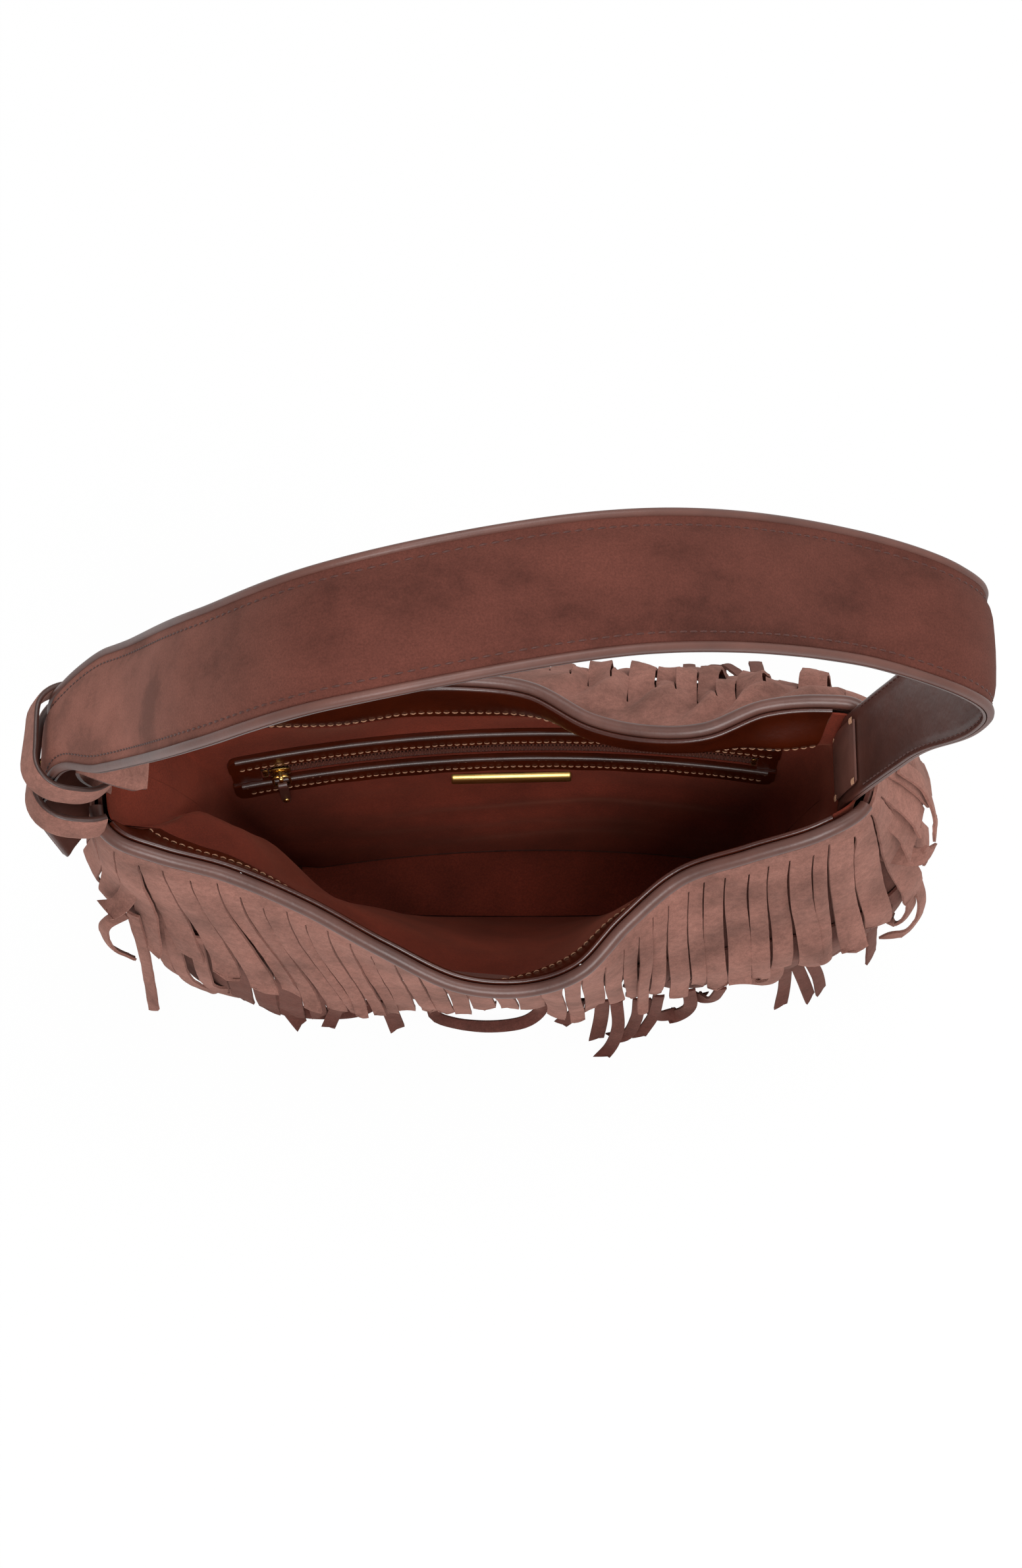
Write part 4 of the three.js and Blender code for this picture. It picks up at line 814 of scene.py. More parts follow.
def body_panel(side):
    columns, rows = 110, 24
    outer, inner = np.zeros((2, columns + 1, rows + 1, 3))
    surface = BODY[side]
    for i in range(columns + 1):
        share = 0.0008 + (1 - 0.0016) * i / columns
        top = surface.grid[min(int(share * surface.columns), surface.columns), -1, 2]
        for j in range(rows + 1):
            height = SEAM + (top - SEAM) * j / rows
            place = surface.at(share, height)
            calm = smooth(0, 0.12, j / rows) * smooth(0, 0.06, min(share, 1 - share))
            wave = 0.0006 * rumple(place, 0.03, 3) * calm - 0.0004 * calm
            outer[i, j] = surface.at(share, height, wave)
            inner[i, j] = surface.at(share, height, wave - PANEL_THICKNESS)
    return Shell().sheet(outer, inner, flip=side == BACK)


# Base board's edge from below to above, in mm: how far inwards and how high
BOARD_EDGE = ((3.2, 0.0), (1.2, 0.0), (0.35, 0.35), (0, 1.1), (0, 2.0), (0.4, 2.7), (1.2, 3.0), (3.2, 3.0))
BOARD_HALF_DEPTH = 45 * MM


def base_panel():
    """Base: a leather board with soft edges, just inside the panels."""
    outline = []
    inset = PANEL_THICKNESS + SEAM
    for side in SIDES:
        ring = BASE[side]
        for k in range(1, 60):
            share = k / 60 if side == FRONT else 1 - k / 60
            outline.append(ring.at(share) - inset * ring.outward(side, share))
    outline = np.array(outline)
    middle = outline.mean(axis=0)
    sections = []
    for inwards, height in BOARD_EDGE:
        ring = middle + (outline - middle) * (1 - inwards * MM / BOARD_HALF_DEPTH)
        ring[:, 2] = height * MM
        sections.append(list(ring))
    return Shell().bar(sections)


class BAG_OT_body(bpy.types.Operator):
    """Body panels and base, which carry the fringe"""
    bl_idname = "bag.body"
    bl_label = "Body panels"

    def execute(self, context):
        # Panels and base take the darker copy of the suede: painted shade under the fringe.
        for side, name in SIDES.items():
            settle(body_panel(side), f"{name}_body", ["suede_deep"], "suede_dark", f"{name}_panel")
        settle(base_panel(), "base_board", ["suede_deep"], "suede_dark", "base_panel")
        return {"FINISHED"}


# Mouth: binding, facing and lining

FLOOR_RING = {
    side: half_ring(side, LINING_LENGTH, LINING_DEPTH, BELLY_SQUARENESS, FLOOR_TOP, LINING_MIDDLE)
    for side in SIDES}


def wall_radius(z):
    return WALL_RADIUS + WALL_SLOPE * (z - ZIP_HEIGHT)


def wall_y(x, z):
    return ZIP_DEPTH - WALL_RADIUS + math.sqrt(wall_radius(z) ** 2 - (x - ZIP_CENTRE) ** 2)


def inner_top(side, share):
    inset = BINDING_ROOM + 3 * SEAM + FACING_THICKNESS
    top = MOUTH[side].at(share) - inset * MOUTH[side].outward(side, share)
    top[2] -= FACING_LOWER
    return top


def sag(side, share, x, below):
    """How far the soft wall falls inwards: at the left end, at the front's left and at the back's right."""
    reach = (0.09, 0.19) if side == FRONT else (0.02, 0.13)
    end = 9 * MM * (1 - smooth(*reach, share)) * between(0, 42 * MM, 56 * MM, 125 * MM, below)
    if side == BACK:
        lean = 9 * MM * bump(112 * MM, 26 * MM, x) * between(0, 20 * MM, 26 * MM, 60 * MM, below)
        return np.array([end, -lean, 0.0])
    inside = smooth(0.02, 0.1, share)
    bulge = between(12 * MM, 44 * MM, 60 * MM, 125 * MM, below)
    front = 17 * MM * (1 - smooth(-125 * MM, -97 * MM, x)) * bulge
    steep = 6.5 * MM * smooth(-105 * MM, -70 * MM, x) * (1 - bump(32 * MM, 34 * MM, x))
    steep *= between(0, 12 * MM, 20 * MM, 44 * MM, below)
    return np.array([end, (front - steep) * inside, 0.0])


def inner_point(side, share, drop):
    """Inner face of the bag: drop is 0 at the mouth and 1 on the floor."""
    top = inner_top(side, share)
    point = top + (FLOOR_RING[side].at(share) - top) * drop
    point += sag(side, share, top[0], top[2] - point[2])
    if side == FRONT:
        return point
    end = max(1 - smooth(0, WALL_ENDS[0], share), smooth(WALL_ENDS[1], 1, share))
    upper = smooth(WALL_TOP, WALL_TOP + (top[2] - WALL_TOP) * WALL_EASE, point[2])
    point[1] += (wall_y(point[0], point[2]) - point[1]) * (1 - max(end, upper))
    return point


def inner_direction(side, share, drop):
    step = 2e-3
    right = inner_point(side, min(share + step, 1), drop)
    left = inner_point(side, max(share - step, 0), drop)
    above = inner_point(side, share, max(drop - step, 0))
    below = inner_point(side, share, min(drop + step, 1))
    out = np.cross(right - left, below - above) * side
    return out / np.linalg.norm(out)


def drop_at(side, share, z):
    top = inner_top(side, share)[2]
    return (top - z) / (top - FLOOR_TOP)


def share_at(line, x):
    low, high = 0.03, 0.97
    for _ in range(40):
        middle = (low + high) / 2
        if line.at(middle)[0] < x:
            low = middle
        else:
            high = middle
    return (low + high) / 2


def mouth_frame(side, share):
    ring = MOUTH[side]
    tangent = ring.tangent(share)
    out = ring.outward(side, share)
    up = np.cross(tangent, out)
    up /= np.linalg.norm(up)
    return ring.at(share), tangent, out, up * (1 if up[2] > 0 else -1)


def binding(side, radius):
    """Leather rolled over the edge."""
    steps = 220
    sections = []
    for k in range(steps + 1):
        share = 0.05 + 0.9 * k / steps
        middle, _, out, up = mouth_frame(side, share)
        middle = middle - radius * up
        swell = 1 + 0.035 * rumple(middle, 0.014, 5)
        sections.append(round_points(middle, radius * swell * out, radius * swell * up, 20))
    return Shell().bar(sections)


FACING_LEFT = LEFT_END + 4 * MM
FACING_RIGHT = RIGHT_END - 15.5 * MM

# Roll at the facing's top edge, beside the binding: its middle inwards and down, and its radius
FACING_ROLL = (3.9 * MM, 2.3 * MM, 1.05 * MM)


def facing(side):
    """Leather facing inside the mouth: a slim roll against the binding, then the flat strip."""
    ring = MOUTH[side]
    columns, roll_rows, rows = 170, 8, 20
    first, last = share_at(ring, FACING_LEFT), share_at(ring, FACING_RIGHT)
    outer, inner = np.zeros((2, columns + 1, rows + 1, 3))
    inwards, down, radius = FACING_ROLL
    for i in range(columns + 1):
        share = first + (last - first) * i / columns
        edge, out = ring.at(share), ring.outward(side, share)
        top = inner_top(side, share)[2]
        for j in range(rows + 1):
            if j <= roll_rows:
                angle = math.radians(-35 + 205 * j / roll_rows)
                for grid, reach in ((outer, radius), (inner, 0.3 * radius)):
                    grid[i, j] = edge - out * (inwards - reach * math.cos(angle))
                    grid[i, j, 2] += -down + reach * math.sin(angle)
                continue
            depth = 2.4 * MM + (FACING_DEPTH - 2.4 * MM) * (j - roll_rows - 1) / (rows - roll_rows - 1)
            drop = drop_at(side, share, top - depth)
            place = inner_point(side, share, drop)
            away = inner_direction(side, share, drop)
            wave = 0.3 * MM * rumple(place, 0.018, 8) * smooth(2 * MM, 8 * MM, depth)
            outer[i, j] = place + away * (wave * 0.5)
            inner[i, j] = place + away * (FACING_THICKNESS - 0.1 * MM + wave * 0.5)
    return Shell().sheet(outer, inner), outer


def facing_stitches(outer, side):
    """A row of light stitches along the facing's lower edge."""
    row = outer.shape[1] - 3
    places = outer[:, row]
    outs = []
    for i in range(len(places)):
        left, right = outer[max(i - 1, 0), row], outer[min(i + 1, len(outer) - 1), row]
        up = outer[i, row - 1] - outer[i, row + 1]
        out = np.cross(right - left, up)
        out /= np.linalg.norm(out)
        outs.append(out if out[1] * side < 0 else -out)
    shell = Shell()
    stitches(shell, places, np.array(outs), bpy.context.scene.bag_sizes.stitch_length, 0.32 * MM)
    return shell


class BAG_OT_mouth(bpy.types.Operator):
    """Rolled binding, leather facing and its stitches round the mouth"""
    bl_idname = "bag.mouth"
    bl_label = "Mouth edge"

    def execute(self, context):
        radius = context.scene.bag_sizes.binding_radius
        for side, name in SIDES.items():
            settle(binding(side, radius), f"{name}_roll", ["edge"], "edge_leather", f"{name}_binding")
            shell, outer = facing(side)
            settle(shell, f"{name}_facing_leather", ["facing"], "facing_leather", f"{name}_facing")
            settle(facing_stitches(outer, side), f"{name}_facing_stitches", ["thread"], "facing_leather")
        return {"FINISHED"}


# Long creases of the back lining below the pocket: height, tilt, depth in mm
CREASES = ((0.058, 0.1, 2.4), (0.04, -0.06, 2.2), (0.025, 0.14, 1.6))


def lining_wave(side, place):
    """How far the lining stands in from its plain wall, in soft creases."""
    x, _, z = place
    crease = 0.0
    if side == BACK:
        for line, tilt, depth in CREASES:
            level = line + tilt * x * 0.3 + 0.004 * math.sin(x * 38)
            crease += depth * MM * bump(level, 0.0065, z) * (0.45 + 0.55 * math.cos((x - 0.02) * 17))
        crease *= between(8 * MM, 30 * MM, 64 * MM, 70 * MM, z)
    crease += 1.1 * MM * rumple((x, 0, z), 0.028, 12) * smooth(0.01, 0.03, z)
    return crease


def lining(side):
    columns, rows = 130, 46
    first_drop = FACING_DEPTH + SEAM
    slot_low, slot_high = ZIP_HEIGHT - ZIP_WINDOW / 2, ZIP_HEIGHT + ZIP_WINDOW / 2
    outer, inner = np.zeros((2, columns + 1, rows + 1, 3))
    upper_rows, slot_rows = 12, 2
    for i in range(columns + 1):
        share = 0.0004 + 0.9992 * i / columns
        top = inner_top(side, share)[2]
        x = MOUTH[side].at(share)[0]
        bare = 1 - between(FACING_LEFT, FACING_LEFT + 2 * MM, FACING_RIGHT - 2 * MM, FACING_RIGHT, x)
        start = top - first_drop + (first_drop - 0.5 * MM) * bare
        for j in range(rows + 1):
            if side == FRONT:
                z = start + (FLOOR_TOP - start) * j / rows
            elif j <= upper_rows:
                z = start + (slot_high - start) * j / upper_rows
            elif j <= upper_rows + slot_rows:
                z = slot_high + (slot_low - slot_high) * (j - upper_rows) / slot_rows
            else:
                lower = upper_rows + slot_rows
                z = slot_low + (FLOOR_TOP - slot_low) * (j - lower) / (rows - lower)
            drop = min(max(drop_at(side, share, z), 0), 1)
            place = inner_point(side, share, drop)
            away = inner_direction(side, share, drop)
            wave = lining_wave(side, place)
            if side == BACK:
                pocket = smooth(0.066, 0.074, z) * (1 - smooth(WALL_TOP - 2 * MM, WALL_TOP + 6 * MM, z))
                wave *= 1 - pocket
            outer[i, j] = place - away * max(wave, -0.4 * MM)
            inner[i, j] = outer[i, j] + away * LINING_THICKNESS
    kept = np.ones((columns, rows), dtype=bool)
    if side == BACK:
        for i in range(columns):
            x = (outer[i, upper_rows, 0] + outer[i + 1, upper_rows, 0]) / 2
            if ZIP_LEFT - 2 * MM < x < ZIP_RIGHT + 2 * MM:
                kept[i, upper_rows:upper_rows + slot_rows] = False
    return Shell().sheet(outer, inner, kept), outer, kept


def lining_floor():
    """Floor of the lining, slightly dished, with its edge under the walls."""
    columns, rows = 90, 16
    outer, inner = np.zeros((2, columns + 1, rows + 1, 3))
    low, high = 0.06, 0.94
    for i in range(columns + 1):
        share = low + (high - low) * i / columns
        front = inner_point(FRONT, share, 1)
        back = inner_point(BACK, share, 1)
        for j in range(rows + 1):
            part = 0.02 + 0.96 * j / rows
            place = front + (back - front) * part
            edge = smooth(0, 0.12, min(j / rows, 1 - j / rows))
            edge *= smooth(0, 0.05, min(i / columns, 1 - i / columns))
            level = BASE_THICKNESS + SEAM + LINING_THICKNESS
            level += 0.8 * MM * (0.5 + rumple(place, 0.03, 21)) * edge
            outer[i, j] = (place[0], place[1], level)
            inner[i, j] = (place[0], place[1], level - LINING_THICKNESS)
    return Shell().sheet(outer, inner), outer, None


class BAG_OT_lining(bpy.types.Operator):
    """Microsuede lining: front wall, back wall and floor"""
    bl_idname = "bag.lining"
    bl_label = "Lining"

    def execute(self, context):
        made = (
            ("lining_front", lining(FRONT), "front_panel"),
            ("lining_back", lining(BACK), "back_panel"),
            ("lining_floor", lining_floor(), "base_panel"),
        )
        for node, (shell, outer, kept), behind in made:
            piece = settle(shell, f"{node}_cloth", ["lining"], "lining_cloth", node)
        return {"FINISHED"}


# Zip pocket


def wall_angle(x):
    return math.asin((x - ZIP_CENTRE) / WALL_RADIUS)


def wall_place(angle, z, lift=0.0):
    """A place on the pocket wall, lifted off it towards the inside of the bag."""
    radius = wall_radius(z) - lift * math.cos(WALL_TILT)
    y = ZIP_DEPTH - WALL_RADIUS + radius * math.cos(angle)
    return np.array([ZIP_CENTRE + radius * math.sin(angle), y, z + lift * math.sin(WALL_TILT)])


def wall_axes(angle):
    along = np.array([math.cos(angle), -math.sin(angle), 0.0])
    off = np.array([
        -math.sin(angle) * math.cos(WALL_TILT), -math.cos(angle) * math.cos(WALL_TILT), math.sin(WALL_TILT)])
    return along, np.cross(off, along), off


def wall_sheet(left, right, low, high, near, far, columns, rows, shape=None):
    """A sheet on the pocket wall. Shape gives (z shift, lift) for each place on it."""
    outer, inner = np.zeros((2, columns + 1, rows + 1, 3))
    for i in range(columns + 1):
        angle = wall_angle(left) + (wall_angle(right) - wall_angle(left)) * i / columns
        for j in range(rows + 1):
            z = low + (high - low) * j / rows
            shift, lift = shape(i / columns, j / rows) if shape else (0.0, 0.0)
            outer[i, j] = wall_place(angle, z + shift, far + lift)
            inner[i, j] = wall_place(angle, z + shift, near)
    return outer, inner


def welt(low, high, rolled_top):
    """Leather welt with a rolled edge, both ends rounded off."""
    near, far = SEAM, SEAM + WELT_THICKNESS
    height = high - low

    def shape(u, v):
        corner = 4.5 * MM
        run = min(u, 1 - u) * (WELT_RIGHT - WELT_LEFT)
        pull = 0.0
        if run < corner:
            pull = corner - math.sqrt(max(corner ** 2 - (corner - run) ** 2, 0))
        outer_edge = v if rolled_top else 1 - v
        shift = -pull * outer_edge * (1 if rolled_top else -1)
        edge = height * (1 - v)
        roll = 0.75 * MM * bump(0.8 * MM, 1.0 * MM, edge)
        wave = 0.12 * MM * math.sin(u * 61 + v * 3)
        return shift, roll + wave

    outer, inner = wall_sheet(WELT_LEFT, WELT_RIGHT, low, high, near, far, 150, 14, shape)
    shell = Shell()
    shell.sheet(outer, inner)
    sections = []
    for angle in np.linspace(wall_angle(WELT_LEFT + 3.5 * MM), wall_angle(WELT_RIGHT - 3.5 * MM), 140):
        _, up, off = wall_axes(angle)
        centre = wall_place(angle, high - WELT_BEAD, far + 0.5 * MM)
        size = WELT_BEAD * (1 + 0.06 * rumple(centre, 0.01, 6))
        sections.append(round_points(centre, size * up, size * off, 10))
    shell.bar(sections, picks=[1] * 10)
    return shell


def wall_stitches(shell, left, right, z, lift):
    angles = np.linspace(wall_angle(left), wall_angle(right), 120)
    places = np.array([wall_place(a, z + 0.12 * MM * math.sin(a * 260), lift) for a in angles])
    outs = np.array([wall_axes(a)[2] for a in angles])
    stitches(shell, places, outs, bpy.context.scene.bag_sizes.stitch_length * 0.9, 0.3 * MM)


def coil(turn):
    """One side of the coil: loops of nylon that interlock with the other side's."""
    shell = Shell()
    count = int((ZIP_RIGHT - ZIP_LEFT) / COIL_PITCH)
    for k in range(count):
        x = ZIP_LEFT + (k + (0.5 if turn > 0 else 1.0)) * COIL_PITCH
        if x > ZIP_RIGHT - 0.4 * MM:
            continue
        angle = wall_angle(x)
        along, _, off = wall_axes(angle)
        near = ZIP_HEIGHT - turn * 0.35 * MM
        far = ZIP_HEIGHT + turn * (COIL_SPLIT / 2 + COIL_HEIGHT - 0.25 * MM)
        sections = []
        for share, width in ((0, 0.5), (0.12, 0.95), (0.5, 1.0), (0.88, 0.95), (1, 0.5)):
            z = near + (far - near) * share
            centre = wall_place(angle, z, COIL_NEAR + COIL_THICKNESS * 0.52)
            sections.append(round_points(centre, 0.46 * MM * width * along, 0.62 * MM * width * off, 8))
        shell.bar(sections)
    left, right = wall_angle(ZIP_LEFT), wall_angle(ZIP_RIGHT)
    core = []
    for k in range(81):
        angle = left + (right - left) * k / 80
        _, up, off = wall_axes(angle)
        height = ZIP_HEIGHT + turn * (COIL_SPLIT / 2 + COIL_HEIGHT * 0.55)
        middle = wall_place(angle, height, COIL_NEAR + 0.4 * MM)
        core.append(round_points(middle, 0.75 * MM * up, 0.32 * MM * off, 8))
    shell.bar(core)
    return shell


def end_patch(inner_x, outer_x):
    """Leather across the zip's end, joining the two welts."""
    low, high = ZIP_HEIGHT - ZIP_WINDOW / 2 + 0.3 * MM, ZIP_HEIGHT + ZIP_WINDOW / 2 - 0.3 * MM
    left, right = min(inner_x, outer_x), max(inner_x, outer_x)

    def shape(u, v):
        return 0.0, -0.25 * MM + 0.1 * MM * math.sin(9 * u + 5 * v)

    outer, inner = wall_sheet(left, right, low, high, SEAM, SEAM + WELT_THICKNESS, 14, 8, shape)
    return Shell().sheet(outer, inner)


class BAG_OT_zip_pocket(bpy.types.Operator):
    """Zip pocket: welts, stitches, tapes, coils, end patches, stops and pouch"""
    bl_idname = "bag.zip_pocket"
    bl_label = "Zip pocket"

    def execute(self, context):
        top = ZIP_HEIGHT + ZIP_WINDOW / 2
        bottom = ZIP_HEIGHT - ZIP_WINDOW / 2
        welts = (
            ("pocket_upper_welt", top, top + UPPER_WELT_HEIGHT, True),
            ("pocket_lower_welt", bottom - LOWER_WELT_HEIGHT, bottom, False),
        )
        for node, low, high, rolled_top in welts:
            settle(
                welt(low, high, rolled_top), f"{node}_leather", ["facing", "rim"], "facing_leather", node)
        for name, inner_x, outer_x in (
            ("left", ZIP_LEFT - 0.5 * MM, WELT_LEFT + 0.5 * MM),
            ("right", ZIP_RIGHT + 0.5 * MM, WELT_RIGHT - 0.5 * MM),
        ):
            settle(end_patch(inner_x, outer_x), f"zip_end_{name}", ["facing"], "facing_leather")
        seams = Shell()
        lift = SEAM + WELT_THICKNESS + 0.05 * MM
        for z, left, right in (
            (top + 8.2 * MM, WELT_LEFT + 5 * MM, WELT_RIGHT - 5 * MM),
            (top + 2 * MM, WELT_LEFT + 4 * MM, WELT_RIGHT - 3 * MM),
            (bottom - 3.6 * MM, WELT_LEFT + 4 * MM, WELT_RIGHT - 3 * MM),
            (bottom - 9.4 * MM, WELT_LEFT + 6 * MM, WELT_RIGHT - 5 * MM),
        ):
            wall_stitches(seams, left, right, z, lift)
        settle(seams, "pocket_stitches", ["thread"], "facing_leather")
        for name, turn in (("upper", 1), ("lower", -1)):
            edge = ZIP_HEIGHT + turn * COIL_SPLIT / 2
            far_edge = edge + turn * TAPE_HEIGHT
            outer, inner = wall_sheet(
                ZIP_LEFT - TAPE_MARGIN, ZIP_RIGHT + TAPE_MARGIN, min(edge, far_edge), max(edge, far_edge),
                TAPE_FAR, TAPE_NEAR, 90, 8)
            shell = Shell().sheet(outer, inner)
            settle(shell, f"zip_{name}_tape", ["tape"], "zip_tape", f"zip_tape_{name}")
            settle(coil(turn), f"zip_{name}_coil", ["coil"], "zip_tape", f"zip_coil_{name}")
        for name, x in (("left", ZIP_LEFT + 1.2 * MM), ("right", ZIP_RIGHT - 1.2 * MM)):
            settle(zip_stop(x), f"zip_{name}_stop", ["gold"], "gold_metal", f"zip_stop_{name}")
        near = TAPE_FAR - 1.9 * MM
        pouch_top = ZIP_HEIGHT + TAPE_HEIGHT

        def slack(u, v):
            return 0.0, -0.5 * MM * (1 - math.cos(5 * math.pi * u)) * (1 - v)

        outer, inner = wall_sheet(
            ZIP_LEFT, ZIP_RIGHT, pouch_top - POUCH_DEPTH, pouch_top, near - POUCH_THICKNESS, near,
            40, 16, slack)
        shell = Shell().sheet(outer, inner)
        settle(shell, "pocket_pouch_cloth", ["lining"], "lining_cloth", "pocket_pouch")
        return {"FINISHED"}


def zip_stop(x):
    """End stop: a clip of metal bent over both coils."""
    angle = wall_angle(x)
    along, up, off = wall_axes(angle)
    reach = COIL_SPLIT / 2 + COIL_HEIGHT
    middle = wall_place(angle, ZIP_HEIGHT, COIL_FAR + SEAM)
    sections = []
    for share in np.linspace(-1, 1, 13):
        round_off = math.sqrt(max(1 - share ** 6, 0.02))
        centre = middle + up * reach * share + off * STOP_THICKNESS / 2 * (1 - 0.5 * share ** 4)
        sections.append(round_points(
            centre, STOP_WIDTH / 2 * round_off * along, STOP_THICKNESS / 2 * round_off * off, 12))
    return Shell().bar(sections)


# Slider and pull


def slider_axes():
    angle = wall_angle(SLIDER_X)
    along, up, off = wall_axes(angle)
    return wall_place(angle, ZIP_HEIGHT), along, up, off


SLIDER_HALF = (4.5 * MM, 3.6 * MM)
SLIDER_PLATE = 1 * MM
BRIDGE_HEIGHT = 4.6 * MM
BRIDGE_HALF = 1.85 * MM
BRIDGE_WIRE = 0.9 * MM
RING_LIFT = SLIDER_NEAR + SLIDER_PLATE + (BRIDGE_HEIGHT - BRIDGE_WIRE) / 2
RING_SIZE = (8 * MM, 8.5 * MM)
RING_WIRE = 1.1 * MM


def slider():
    """Slider: a shield-shaped plate over the coils, one behind them, a post and the pull's bridge."""
    origin, along, up, off = slider_axes()
    shell = Shell()

    def plate(near, far, half_length, half_height):
        outline = []
        for angle in turns(28):
            x = math.copysign(abs(math.cos(angle)) ** 0.55, math.cos(angle)) * half_length
            y = math.copysign(abs(math.sin(angle)) ** 0.55, math.sin(angle)) * half_height
            y *= 0.82 + 0.18 * smooth(-1, 0.6, -x / half_length)
            outline.append((x, y))
        sections = []
        depth = far - near
        for share, size in ((0, 0.9), (0.18, 0.985), (0.5, 1), (0.8, 0.97), (1, 0.86)):
            sections.append([
                origin + along * x * size + up * y * size + off * (near + depth * share) for x, y in outline])
        shell.bar(sections)

    plate(SLIDER_NEAR, SLIDER_NEAR + SLIDER_PLATE, *SLIDER_HALF)
    back = TAPE_FAR - SEAM
    plate(back - SLIDER_PLATE, back, *SLIDER_HALF)
    sections = []
    for height in (back - 0.2 * MM, SLIDER_NEAR + 0.2 * MM):
        post = origin + along * 2.6 * MM + off * height
        sections.append(round_points(post, along * 1.5 * MM, up * 0.4 * MM, 12))
    shell.bar(sections)
    front = SLIDER_NEAR + SLIDER_PLATE
    path = []
    for angle in np.linspace(0, math.pi, 17):
        width = math.copysign(abs(math.cos(angle)) ** 0.5, math.cos(angle)) * BRIDGE_HALF
        rise = math.sin(angle) ** 0.6 * (BRIDGE_HEIGHT - BRIDGE_WIRE / 2)
        path.append((width, rise))
    path = [(BRIDGE_HALF, -0.4 * MM), *path, (-BRIDGE_HALF, -0.4 * MM)]
    sections = []
    for k, (width, rise) in enumerate(path):
        before, after = path[max(k - 1, 0)], path[min(k + 1, len(path) - 1)]
        run = up * (after[0] - before[0]) + off * (after[1] - before[1])
        run /= np.linalg.norm(run)
        side = np.cross(run, along)
        centre = origin + up * width + off * (front + rise)
        sections.append(round_points(centre, along * BRIDGE_WIRE, side * 0.42 * MM, 10, 0.5))
    shell.bar(sections)
    return shell


def rounded_outline(width, height, radius, count):
    """Points round a rounded rectangle, evenly spaced, with the direction at each."""
    corners = []
    for cx, cy, start in (
        (width / 2 - radius, height / 2 - radius, 0), (-width / 2 + radius, height / 2 - radius, 90),
        (-width / 2 + radius, -height / 2 + radius, 180), (width / 2 - radius, -height / 2 + radius, 270),
    ):
        for step in range(9):
            angle = math.radians(start + step * 90 / 8)
            corners.append((cx + radius * math.cos(angle), cy + radius * math.sin(angle)))
    corners.append(corners[0])
    points = np.array(corners)
    runs = np.concatenate([[0.0], np.cumsum(np.linalg.norm(np.diff(points, axis=0), axis=1))])
    places = np.linspace(0, runs[-1], count, endpoint=False)
    return np.array([[np.interp(d, runs, points[:, c]) for c in (0, 1)] for d in places])


def pull_ring():
    origin, along, up, off = slider_axes()
    outline = rounded_outline(RING_SIZE[0] - RING_WIRE, RING_SIZE[1] - RING_WIRE, 2.0 * MM, 56)
    drop = -(RING_SIZE[1] - RING_WIRE) / 2
    sections = []
    for k, (x, y) in enumerate(outline):
        before, after = outline[k - 1], outline[(k + 1) % len(outline)]
        run = (after - before) / np.linalg.norm(after - before)
        normal = along * run[1] - up * run[0]
        centre = origin + along * x + up * (y + drop) + off * RING_LIFT
        sections.append(round_points(centre, RING_WIRE / 2 * normal, RING_WIRE / 2 * off, 12))
    return Shell().bar(sections, closed=True)


TAB_LENGTH = 15 * MM
TAB_WIDTH = 4 * MM
TAB_PROFILE = ((-1, -0.5), (-0.9, -0.9), (0.9, -0.9), (1, -0.5), (1, 0.5), (0.9, 0.9), (-0.9, 0.9), (-1, 0.5))


def tab_section(centre, along, across, thickness, rise):
    """The pull's section, a little narrower at its tip."""
    half = TAB_WIDTH / 2 * (1.0 if rise > -TAB_LENGTH + 2 * MM else 0.86)
    return [centre + along * x * half + across * y * thickness for x, y in TAB_PROFILE]


def pull_tab():
    """Leather pull folded round the ring: an eye, and two layers stitched together below it."""
    origin, along, up, off = slider_axes()
    foot = origin + up * -(RING_SIZE[1] - RING_WIRE) + off * RING_LIFT
    shell = Shell()
    eye = RING_WIRE / 2 + 0.9 * MM
    loop = [(eye * math.cos(a), eye * math.sin(a)) for a in map(math.radians, range(-60, 241, 12))]
    tail = [(-0.55 * MM, -2.9 * MM), (-0.5 * MM, -6 * MM), (-0.5 * MM, -TAB_LENGTH + 0.4 * MM)]
    path_left = [*loop, *tail]
    sections = []
    for k, (lift, rise) in enumerate(path_left):
        before, after = path_left[max(k - 1, 0)], path_left[min(k + 1, len(path_left) - 1)]
        run = np.array([after[0] - before[0], after[1] - before[1]])
        run /= np.linalg.norm(run)
        side = off * -run[1] + up * run[0]
        centre = foot + off * lift + up * rise
        sections.append(tab_section(centre, along, side, 0.5 * MM, rise))
    shell.bar(sections)
    sections = []
    for rise in np.linspace(-2.1 * MM, -TAB_LENGTH + 0.3 * MM, 12):
        centre = foot + off * 0.62 * MM + up * rise
        sections.append(tab_section(centre, along, off, 0.46 * MM, rise))
    shell.bar(sections)
    return shell


def bead(origin, out, across, radius, height):
    """A round gold head, domed."""
    other = np.cross(out, across)
    sections = []
    for share, size in ((0, 0.92), (0.15, 1.0), (0.4, 0.97), (0.65, 0.8), (0.85, 0.52), (0.97, 0.2)):
        sections.append(round_points(
            origin + out * height * share, radius * size * across, radius * size * other, 20))
    return Shell().bar(sections)


